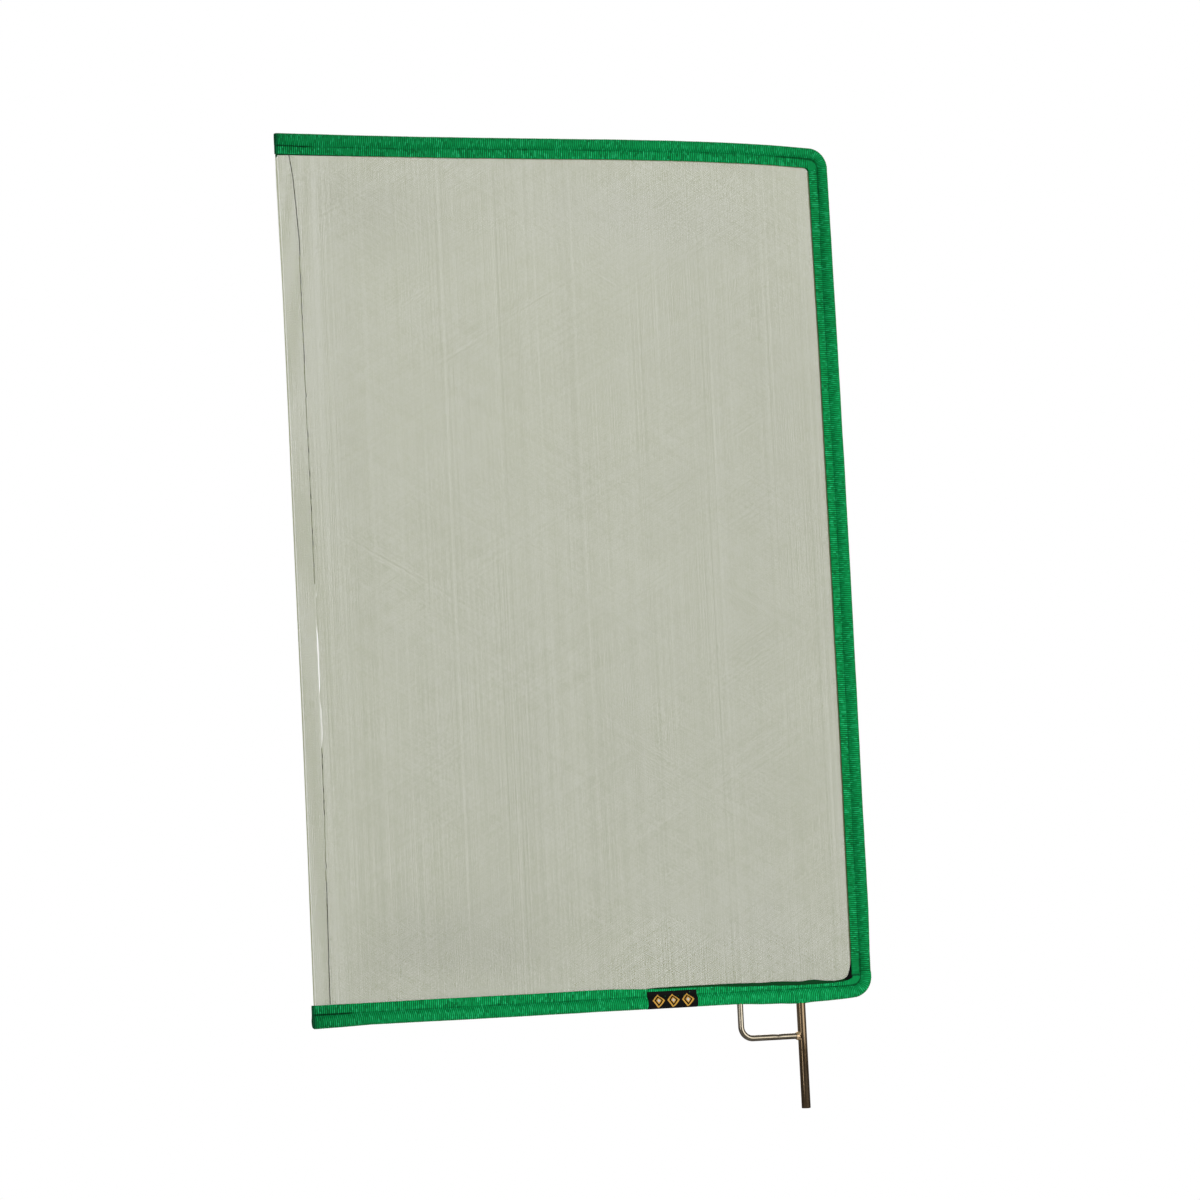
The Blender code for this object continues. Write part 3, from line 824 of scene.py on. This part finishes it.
tapeGreen = makeTapeGreen()
bottomTape = makeCornerTape(-1)
cutHole(bottomTape, 0.0, pinRadius + 0.0003)
cutHole(bottomTape, braceX, braceRadius + 0.0003)
faceCount = 0
for name, folded in (("Top", makeCornerTape(1)), ("Bottom", bottomTape), ("Side", makeSideTape())):
    piece = addPiece("tape" + name, folded, tapeGreen, "binding_" + name.lower())
    thicken(piece, tape["thickness"])
    faceCount += len(piece.data.polygons)
print("binding tape folded:", faceCount)

stitch = {
    "length": 0.0027,
    "thickness": 0.00055,
    "face": 0.0019,  # how far the thread lies to the front or back
    "jog": 0.00012,
    "tackEnds": {1: -0.4943, -1: -0.4885},
    "tackRows": 3,
}
threadGreen = makeThread("threadGreen", (0.001, 0.075, 0.02), (0.002, 0.15, 0.042), 0.75)
tackGreen = makeThread("tackGreen", (0.0004, 0.016, 0.005), (0.001, 0.05, 0.015), 0.75)


def addStitch(bm, start, end, thickness):
    # one long bead of thread between two needle holes
    start, end = Vector(start), Vector(end)
    size = Matrix.Diagonal((thickness, thickness * 0.8, (end - start).length, 1))
    turn = (end - start).to_track_quat("Z", "Y").to_matrix().to_4x4()
    place = Matrix.Translation((start + end) / 2) @ turn @ size
    bmesh.ops.create_uvsphere(bm, u_segments=6, v_segments=4, radius=0.5, matrix=place)


def seamThread(name, node, route, start, end, side):
    # a row of stitches along a route(s) -> (x, z); side is -1 on the front
    rng = random.Random(name)
    bm = bmesh.new()
    s = start
    while s < end - stitch["length"]:
        jog = rng.uniform(-stitch["jog"], stitch["jog"])
        x0, z0 = route(s)
        x1, z1 = route(s + stitch["length"] * rng.uniform(0.92, 1.08))
        y = side * (stitch["face"] - 0.0002)
        addStitch(bm, (x0 + jog, y, z0 + jog), (x1 - jog, y, z1 - jog), stitch["thickness"])
        s += tape["stitchPitch"]
    return addPiece(name, bm, threadGreen, node)


def tackThread(name, node, sign, side):
    # rows of back and forth stitching that hold the open end
    rng = random.Random(name)
    bm = bmesh.new()
    tacked = stitch["tackEnds"][sign] - tapeStart[sign]
    for row in range(stitch["tackRows"]):
        s = 0.0022 + rng.uniform(0, 0.0015)
        while s < tacked - 0.0025 - 0.0025 * row:
            inset = tape["seamInset"] + seamShift(sign, tapeStart[sign] + s) + 0.0006 * row - 0.0004
            length = rng.uniform(0.0021, 0.0028)
            x0, z0 = cornerRoute(sign, s, inset + rng.uniform(-0.0003, 0.0003))
            x1, z1 = cornerRoute(sign, s + length, inset + rng.uniform(-0.0003, 0.0003))
            y = side * (stitch["face"] + rng.uniform(-0.0002, 0.0002))
            addStitch(bm, (x0, y, z0), (x1, y, z1), stitch["thickness"])
            s += length * 0.95
    return addPiece(name, bm, tackGreen, node)


def armSeam(sign):
    return lambda s: cornerRoute(sign, s, tape["seamInset"] + seamShift(sign, tapeStart[sign] + s))


def sideSeam(s):
    z = sideLow + s
    return sideAt(z) - tape["seamInset"] - seamShift(0, z), z


for side, face in ((-1, "Front"), (1, "Back")):
    for sign, run in ((1, "Top"), (-1, "Bottom")):
        node = f"{run}_{face}".lower()
        start = stitch["tackEnds"][sign] - tapeStart[sign] + 0.002
        end = cornerLength[sign] - 0.0005
        seamThread("seam" + run + face, "seam_" + node, armSeam(sign), start, end, side)
        tackThread("tack" + run + face, "end_tack_" + node, sign, side)
    length = sideHigh - sideLow
    seamThread("seamSide" + face, "seam_side_" + face.lower(), sideSeam, 0.001, length, side)
print("seams sewn")

stay = {
    "thickness": 0.0005,
    "front": -0.0009,
    "under": 0.0072,  # its hidden edge, from the arm's axis
    "step": 0.0008,
    "fade": 0.003,
}
stayLook = {
    "dark": (0.0016, 0.024, 0.006),
    "light": (0.006, 0.062, 0.018),
    "shaded": (0.0022, 0.0028, 0.0022),  # painted shade in the bottom corner
    "ribPitch": 0.0009,
    "yarnPitch": 0.0006,
}


def makeStayTapeShaded():
    # a black stay tape, coloured dark green as painted shade of the gap beside the flange's edge, and near
    # black as painted shade in the bottom corner
    material, tree, shader = newCloth("stayTapeShaded")
    weave = woven(tree, stayLook)[1]
    colour = blend(tree, weave["Height"], stayLook["dark"], stayLook["light"])
    colour = blend(tree, mark(tree, "shaded"), colour, stayLook["shaded"])
    rough = scaled(tree, weave["Fade"], 0.2, 0.7)
    finish(tree, shader, colour, rough, bump(tree, weave["Height"], 0.0001, 0.6))
    return material


stayTapeShaded = makeStayTapeShaded()


def stayStrip(name, node, start, end, place, shadedFrom):
    # place(s, t): t from 0 under the flange to 1 at the inner edge
    columns = round((end - start) / stay["step"])

    def spot(i, j):
        s = start + (end - start) * i / columns
        x, z = place(s, j / 5)
        y = stay["front"] + 0.00008 * drift(s, j, 0.02)
        shaded = share(s, shadedFrom, shadedFrom + stay["fade"])
        return Vector((x, y, z)), (s, j / 5 * 0.01), shaded

    bm = clothGrid(columns, 5, spot, ("shaded",))
    faceOutwards(bm, lambda face: face.normal.y < 0)
    thicken(addPiece(name, bm, stayTapeShaded, node), stay["thickness"])


# how deep the inner edge of each stay lies, from the arm's axis
topDepth = [
    (-0.5325, 0.02), (-0.5312, 0.0192), (-0.5305, 0.0171), (-0.505, 0.017), (-0.443, 0.0164),
    (-0.43, 0.0152), (0.0545, 0.0151), (0.0549, 0.0158), (0.0574, 0.0175), (0.059, 0.0201),
    (0.06, 0.0234), (0.0602, 0.026),
]
bottomDepth = [
    (-0.176, 0.0142), (-0.168, 0.0154), (-0.157, 0.0158), (-0.07, 0.0158), (-0.058, 0.0152),
    (-0.045, 0.015), (-0.038, 0.0149), (-0.031, 0.0152), (-0.018, 0.015), (-0.004, 0.0143),
    (0.003, 0.014), (0.01, 0.015), (0.0165, 0.0151), (0.023, 0.0142), (0.03, 0.0133),
    (0.037, 0.0128), (0.0404, 0.0126), (0.0462, 0.0131), (0.0497, 0.0139), (0.0526, 0.0152),
    (0.0551, 0.0173), (0.0561, 0.0198), (0.0571, 0.0229), (0.0583, 0.0271), (0.059, 0.0307),
    (0.06, 0.0345),
]


def topStay(x, t):
    deep = between(topDepth, x) + (0.0002 * drift(x, 5, 0.012) if x < 0.05 else 0)
    return x, topAt(x) - stay["under"] - (deep - stay["under"]) * t


def bottomStay(x, t):
    deep = between(bottomDepth, x) + (0.0002 * drift(x, 2, 0.009) if -0.165 < x < 0.05 else 0)
    return x, bottomAt(x) + stay["under"] + (deep - stay["under"]) * t


def sideStay(z, t):
    deep = tape["edgeInset"] - 0.001 + 0.0003 * drift(z, 8, 0.03)
    return sideAt(z) - stay["under"] - (deep - stay["under"]) * t, z


stayStrip("stayTop", "stay_tape_top", tape["topStart"] + 0.0008, 0.0602, topStay, 0.07)
stayStrip("stayBottom", "stay_tape_bottom", openX + 0.024, 0.06, bottomStay, 0.0497)
stayStrip("staySide", "stay_tape_side", bottomZ + 0.022, topZ - 0.022, sideStay, 2.0)
print("stay tapes laid")

net = {
    "pitch": 0.00092,
    "yarn": 0.00015,  # half of a yarn's thickness
    "y": -0.0001,
    "wander": 0.00012,
    "billow": 0.0006,
    "heldIn": 0.014,  # the tapes hold it flat this far in from the rods
    "ease": 0.1,
    "layer": 0.0001,
    "steps": 6,
    "selvedge": 0.0004,  # pitch of the first three yarns
    "drawnIn": 45,  # yarns that bend with the open edge
    "overlap": 0.0008,  # past the seams of the arms
    "lean": math.radians(30),
}
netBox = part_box("net_panel")
netLow, netHigh = netBox[0][2] + 0.0004, netBox[1][2] - 0.0004
netLeft, netRight = openX - 0.0003, sideX - tape["seamInset"] - 0.0016


# the open edge and the line beside it, as height and x
edgeStops = [
    (0.12, -0.5278), (0.141, -0.5279), (0.242, -0.5281), (0.342, -0.5276), (0.444, -0.5284),
    (0.546, -0.529), (0.649, -0.5297), (0.752, -0.5299), (0.856, -0.5305), (0.939, -0.5322),
    (0.991, -0.533), (1.02, -0.5326),
]
lineStops = [
    (0.12, -0.5109), (0.15, -0.5108), (0.291, -0.5091), (0.393, -0.5087), (0.449, -0.5091),
    (0.52, -0.5095), (0.56, -0.5091), (0.69, -0.5099), (0.778, -0.5105), (0.853, -0.511),
    (0.9185, -0.511), (0.955, -0.5131), (0.9853, -0.5152), (1.0052, -0.5181), (1.012, -0.519),
]


def netEdge(z):
    return between(edgeStops, z)


def lineX(z):
    return between(lineStops, z)


# places where the net has torn along the line: lowest z, highest z, widest gap
slits = [(0.3926, 0.447, 0.0015), (0.449, 0.5202, 0.0019), (0.549, 0.552, 0.002)]


def slitWidth(z):
    for low, high, width in slits:
        if low < z < high:
            t = (z - low) / (high - low)
            return width * min(1.0, 4 * t, 4 * (1 - t))
    return 0.0


def netY(x, z, layer):
    swell = math.sin((x - openX) * 9.1 + 1.3 * z) * math.sin(z * 7.3 + 0.4)
    held = net["heldIn"]
    free = min(x - openX + 0.02, 2 * (sideX - held - x), 2 * (z - bottomZ - held), 2 * (topZ - held - z))
    return net["y"] + net["billow"] * swell * share(free, 0.0, net["ease"]) + layer * net["layer"]


def clipToPanel(z0, slope):
    # x limits of the part that lies in the panel of the line z = z0 + slope * (x - netLeft)
    ends = sorted((netLeft + (netLow - z0) / slope, netLeft + (netHigh - z0) / slope))
    return max(ends[0], netEdge(z0 + slope * (openX - netLeft))), min(ends[1], netRight)


def slantYarn(x0, z0, x1, z1, layer, rng):
    points = []
    for k in range(net["steps"] + 1):
        t = k / net["steps"]
        x, z = x0 + (x1 - x0) * t, z0 + (z1 - z0) * t
        stray = rng.uniform(-1, 1) * net["wander"] if 0 < k < net["steps"] else 0
        points.append((x, netY(x, z, layer), z + stray))
    return points


def uprightYarns(rng):
    rows = []
    for n in range(round((netRight - netLeft) / net["pitch"]) + 1):
        spare = rng.uniform(-0.09, 0.09) * net["pitch"]
        x = netLeft + 0.0002 + n * net["pitch"] + spare
        if n < 3:
            x = netLeft + 0.0002 + n * net["selvedge"]
        inset = tape["seamInset"] - net["overlap"]
        cuts = [(bottomAt(x) + inset, topAt(x) - inset)]
        for low, high, width in slits:
            if 0 < x - lineX((low + high) / 2) - 0.0002 < width:
                cuts = [(a, b) for z0, z1 in cuts for a, b in ((z0, low), (high, z1))]
        for z0, z1 in cuts:
            points = []
            for k in range(net["steps"] + 1):
                z = z0 + (z1 - z0) * k / net["steps"]
                pull = (netEdge(z) - netLeft) * max(0.0, 1 - n / net["drawnIn"])
                stray = rng.uniform(-1, 1) * net["wander"] * (1 if n > 4 else 0.2)
                points.append((x + pull + stray, netY(x, z, 0), z))
            rows.append(points)
    return rows


def slantYarns(sign, rng):
    # one slanted set of yarns, cut where the net has torn
    rows = []
    slope = sign * math.tan(net["lean"])
    rise = net["pitch"] / math.cos(net["lean"])
    width = netRight - netLeft
    first = netLow - (width * slope if sign > 0 else 0)
    last = netHigh - (width * slope if sign < 0 else 0)
    for n in range(int((last - first) / rise) + 1):
        z0 = first + n * rise + rng.uniform(-0.08, 0.08) * rise
        start, end = clipToPanel(z0, slope)
        if end - start < 0.002:
            continue
        pieces = [(start, end)]
        crossZ = z0 + slope * (lineX(z0 + slope * 0.019) - netLeft)
        gap = slitWidth(crossZ)
        if gap > 0.0003:
            cut = lineX(crossZ) + 0.0002
            pieces = [(start, cut), (cut + gap, end)]
        for a, b in pieces:
            if b - a >= 0.001:
                za, zb = z0 + slope * (a - netLeft), z0 + slope * (b - netLeft)
                rows.append(slantYarn(a, za, b, zb, sign, rng))
    return rows


rng = random.Random(5)
yarnRows = uprightYarns(rng) + slantYarns(1, rng) + slantYarns(-1, rng)
yarns = sweep("netPanel", yarnRows, net["yarn"], sides=4)
netPanel = addPiece("netPanel", yarns, makeNetYarn(), "net_panel", smooth=False)
print("net knotted:", len(yarnRows), "yarns")

edgeLine = {"stitch": 0.0052, "gap": 0.0006, "radius": 0.0004, "top": 1.0069, "endsAt": 0.5602}
lineThread = makeThread("lineThread", (0.012, 0.012, 0.006), (0.055, 0.052, 0.028), 0.7)


def makeEdgeLine():
    rng = random.Random(31)
    rows = []
    z = bottomAt(openX) + tape["edgeInset"] + 0.0003
    while z < edgeLine["top"]:
        length = edgeLine["stitch"] * rng.uniform(0.85, 1.15)
        broken = slits[0][0] < z < edgeLine["endsAt"]
        if not broken:
            behind = 0.25 < z < 0.9 and rng.random() < 0.75
            y, bulge = (0.0006, 0.0003) if behind else (-0.0005, -0.0003)
            points = []
            for k in range(5):
                at = z + length * k / 4
                x = lineX(at) + rng.uniform(-0.0001, 0.0001)
                points.append((x, net["y"] + y + math.sin(math.pi * k / 4) * bulge, at))
            rows.append(points)
        z += length + edgeLine["gap"]
    return sweep("edgeLine", rows, edgeLine["radius"], sides=6)


addPiece("edgeLine", makeEdgeLine(), lineThread, "edge_line")
print("edge line sewn")

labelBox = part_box("label")
label = {
    "left": labelBox[0][0],
    "width": labelBox[1][0] - 0.0012 - labelBox[0][0],
    "reach": 0.0117,  # how far in its flaps go from the rod's axis
    "lift": 0.0005,
    "thickness": 0.0004,
    "columns": 56,
}


def makeLabel():
    edgeW = tapeFold[3][1]
    fold = [(label["reach"], edgeW)] + tapeFold[4:-4] + [(label["reach"], -edgeW)]
    down, out = lengthAlong(fold), outOf(fold)

    def spot(i, j):
        s = label["width"] * i / label["columns"]
        lift = label["lift"] + 0.00012 * drift(s, j * 0.21, 0.01)
        u, w = (a + b * lift for a, b in zip(fold[j], out[j]))
        if j == seamIndex - 3:
            w = math.copysign(abs(w) - 0.0001, w)
        x = label["left"] + s
        return Vector((x, -w, bottomAt(x) + u)), (s, down[j])

    bm = clothGrid(label["columns"], len(fold) - 1, spot)
    faceOutwards(bm, outOfFold)
    return bm


labelCloth = makeLabelCloth(label["width"])
labelPiece = addPiece("labelFolded", makeLabel(), labelCloth, "label")
thicken(labelPiece, label["thickness"])
print("label folded")

steelRod = makeSteel(
    "steelRod", (0.058, 0.038, 0.018), (0.068, 0.045, 0.022), (0.082, 0.056, 0.029),
    (520.0, 520.0, 3.0), 0.1, oil=0.25, rimShade=0.4,
)
steelBar = makeSteel(
    "steelBar", (0.098, 0.082, 0.056), (0.128, 0.111, 0.081), (0.168, 0.15, 0.116),
    (60.0, 620.0, 60.0), 0.11, oil=0.25, rimShade=0.8,
)
weldBead = makeSteel(
    "weldBead", (0.14, 0.09, 0.045), (0.34, 0.24, 0.14), (0.52, 0.4, 0.26),
    (420.0, 420.0, 420.0), 0.3,
)
brace = {
    "barZ": 0.0762,
    "bend": 0.0127,
    "rise": -0.0003,  # at the pin
    "ding": (-0.0277, 0.0005),  # where, and how deep
}


def makePin():
    top = bottomAt(0) - steel["rodRadius"]
    bm = bmesh.new()
    bmesh.ops.create_cone(
        bm, cap_ends=True, segments=48, radius1=pinRadius, radius2=pinRadius, depth=top,
        matrix=Matrix.Translation((0, 0, top / 2)),
    )
    rim = [e for e in bm.edges if all(v.co.z < 1e-5 for v in e.verts)]
    bmesh.ops.bevel(bm, geom=rim, offset=0.0008, segments=3, affect="EDGES", profile=0.5, material=-1)
    return bm


def makeBrace():
    bend, barZ = brace["bend"], brace["barZ"]
    points = [(braceX, 0, bottomAt(braceX) - steel["rodRadius"])]
    points += [(braceX, 0, barZ + bend + rise) for rise in (0.016, 0.008)]
    for k in range(13):
        angle = math.pi + math.pi / 2 * k / 12
        points.append((braceX + bend * (1 + math.cos(angle)), 0, barZ + bend * (1 + math.sin(angle))))
    start, end = braceX + bend, -pinRadius + 0.0006
    for k in range(1, 25):
        points.append((start + (end - start) * k / 24, 0, barZ + brace["rise"] * k / 24))
    bm = sweep("brace", [points], braceRadius, sides=28)
    dingX, deep = brace["ding"]
    for vert in bm.verts:
        if vert.co.z > barZ and abs(vert.co.x - dingX) < 0.006:
            vert.co.z -= deep * math.exp(-(((vert.co.x - dingX) / 0.0022) ** 2))
    return bm


def sharpCaps(piece):
    # flat caps keep their edge, the round sides turn smoothly
    for edge in piece.data.edges:
        edge.use_edge_sharp = False
    piece.data.set_sharp_from_angle(angle=math.radians(40))


sharpCaps(addPiece("pinRound", makePin(), steelRod, "pin"))
sharpCaps(addPiece("braceRound", makeBrace(), steelBar, "brace_rod"))

# how far a bead stands out of the bar, and how far back along it
beadShapes = {
    "covered": [(0.0001, -0.0012), (0.0004, -0.0008), (0.0008, -0.0005), (0.0014, -0.0002), (0.0021, 0.0)],
    "open": [(0.0001, -0.003), (0.0006, -0.0026), (0.0012, -0.0017), (0.0019, -0.0008), (0.0028, 0.0)],
}


def makeBead(seat, towards, barRadius, seed, shape):
    # a fillet of weld round a bar, rippled, its foot on the host's round surface
    hostRadius = steel["rodRadius"]
    turn = Vector(towards).to_track_quat("Z", "Y").to_matrix().to_4x4()
    profile = beadShapes[shape]
    bm = bmesh.new()
    verts = [bm.verts.new((barRadius + out, 0, up)) for out, up in profile]
    edges = [bm.edges.new(pair) for pair in zip(verts, verts[1:])]
    bmesh.ops.spin(
        bm, geom=verts + edges, cent=(0, 0, 0), axis=(0, 0, 1), angle=math.tau, steps=32, use_merge=True
    )
    phase = random.Random(seed).uniform(0, 6)
    for vert in bm.verts:
        angle = math.atan2(vert.co.y, vert.co.x)
        ripple = 0.12 * math.sin(9 * angle + phase + vert.co.z * 900) + 0.15 * math.sin(2 * angle + seed)
        swell = max(0.0, math.hypot(vert.co.x, vert.co.y) - barRadius) * (1 + ripple)
        foot = 1 - vert.co.z / profile[0][1]
        vert.co.x, vert.co.y = (barRadius + swell) * math.cos(angle), (barRadius + swell) * math.sin(angle)
        # the host is a rod across the bead: its surface falls away sideways
        across = min(abs(vert.co.y), hostRadius * 0.98)
        vert.co.z += foot * (hostRadius - math.sqrt(hostRadius**2 - across**2))
    bmesh.ops.transform(bm, matrix=Matrix.Translation(seat) @ turn, verts=bm.verts[:])
    bmesh.ops.recalc_face_normals(bm, faces=bm.faces[:])
    if shape == "covered":
        # the cloth's sleeve lies close round it, front and back
        room = barRadius + 0.0002
        for vert in bm.verts:
            vert.co.y = max(-room, min(room, vert.co.y))
    return bm


armSeat = bottomAt(0) - steel["rodRadius"]
barSeat = brace["barZ"] + brace["rise"]
for name, node, seat, towards, radius, shape in (
    ("weldPin", "pin_weld", (0, 0, armSeat), (0, 0, 1), pinRadius, "covered"),
    ("weldLeg", "brace_arm_weld", (braceX, 0, armSeat), (0, 0, 1), braceRadius, "covered"),
    ("weldBar", "brace_pin_weld", (-pinRadius, 0, barSeat), (1, 0, 0), braceRadius, "open"),
):
    bead = makeBead(seat, towards, radius, len(name) + radius * 1000, shape)
    thicken(addPiece(name, bead, weldBead, node), 0.0003)
print("welds run")

for slot in bpy.data.objects["frame_rod"].material_slots:
    slot.material = steelRod
print("steel set")

# fitted to the four corners of the tape
view = {
    "lens": 104.53,
    "place": (-1.3884, -3.4386, 0.2061),
    "forward": (0.3247, 0.9414, 0.0917),
    "up": (0.0154, -0.1022, 0.9946),
}
camera = bpy.data.objects.new("camera", bpy.data.cameras.new("camera"))
bpy.context.collection.objects.link(camera)
camera.data.lens = view["lens"]
camera.data.sensor_width = 36
camera.data.clip_end = 50
forward = Vector(view["forward"]).normalized()
right = forward.cross(Vector(view["up"])).normalized()
turn = Matrix((right, right.cross(forward), -forward)).transposed()
camera.matrix_world = Matrix.Translation(view["place"]) @ turn.to_4x4()
bpy.context.scene.camera = camera


def addLamp(name, place, target, size, power, spread=180):
    lamp = bpy.data.lights.new(name, "AREA")
    lamp.shape = "RECTANGLE"
    lamp.size, lamp.size_y = size
    lamp.energy = power
    lamp.spread = math.radians(spread)
    holder = bpy.data.objects.new(name, lamp)
    bpy.context.collection.objects.link(holder)
    aim = (Vector(target) - Vector(place)).to_track_quat("-Z", "Y")
    holder.matrix_world = Matrix.Translation(place) @ aim.to_matrix().to_4x4()
    holder.visible_camera = False


flagMiddle = (-0.225, 0, 0.57)
addLamp("softBox", (3.3, -6.2, 1.2), flagMiddle, (5.4, 4.2), 205, spread=120)
addLamp("fillLamp", (-3.0, -2.3, 0.35), flagMiddle, (0.5, 2.6), 42)
addLamp("topLamp", (-0.2, 0.3, 3.2), flagMiddle, (2.0, 2.0), 12)
addLamp("backLamp", (0.6, 3.0, 1.2), flagMiddle, (2.0, 2.0), 60)

studio = {
    "floorSize": 10,  # half of its width
    "floorPlace": (-0.2, 0, -1.25),
    "white": 0.8,  # share of plain white under the flag
    "fade": (2, 8),  # over this distance the rest goes
    "skyLight": 0.38,
}
floorMesh = bmesh.new()
floorPlace = Matrix.Translation(studio["floorPlace"])
bmesh.ops.create_grid(
    floorMesh, x_segments=1, y_segments=1, size=studio["floorSize"], matrix=floorPlace
)
floorData = bpy.data.meshes.new("studioFloor")
floorMesh.to_mesh(floorData)
floorMesh.free()
floor = bpy.data.objects.new("studioFloor", floorData)
bpy.context.collection.objects.link(floor)
floorPaint, floorTree, floorShader = newMaterial("floorPaint", {"Roughness": 0.9})
floorSpot = objectPlace(floorTree)
floorGrain = mottle(floorTree, floorSpot, 3.0, 3.0)
floorTone = blend(floorTree, floorGrain, (0.8, 0.8, 0.79), (0.84, 0.84, 0.83))
feed(floorTree, floorShader, {"Base Color": floorTone})
# most of its tone is the white of the backdrop, the rest takes light and shadow and fades outwards
floorRays = addNode(floorTree, "LightPath").outputs
floorGlow = addNode(floorTree, "Emission", {"Color": (1, 1, 1, 1), "Strength": 1.0})
floorFar = addNode(floorTree, "VectorMath", {0: floorSpot}, operation="LENGTH").outputs["Value"]
floorWhite = remap(floorTree, floorFar, *studio["fade"], studio["white"], 1.0)
floorWhite = times(floorTree, floorRays["Is Camera Ray"], floorWhite)
floorLayers = {0: floorWhite, 1: floorShader.outputs[0], 2: floorGlow.outputs[0]}
floorMix = addNode(floorTree, "MixShader", floorLayers).outputs[0]
feed(floorTree, floorTree.nodes["Material Output"], {"Surface": floorMix})
floorData.materials.append(floorPaint)

world = bpy.data.worlds.new("studio")
bpy.context.scene.world = world
world.use_nodes = True
sky = world.node_tree
sky.nodes.clear()
rays = addNode(sky, "LightPath").outputs
seen = calc(sky, "MAXIMUM", rays["Is Camera Ray"], rays["Is Glossy Ray"])
seen = calc(sky, "MAXIMUM", seen, rays["Is Transmission Ray"])
light = studio["skyLight"]
strength = scaled(sky, seen, 1 - light, light)
glow = addNode(sky, "Background", {"Color": (1, 1, 1, 1), "Strength": strength})
sky.links.new(glow.outputs[0], addNode(sky, "OutputWorld").inputs[0])
bpy.context.scene.view_settings.view_transform = "Standard"
print("studio ready")
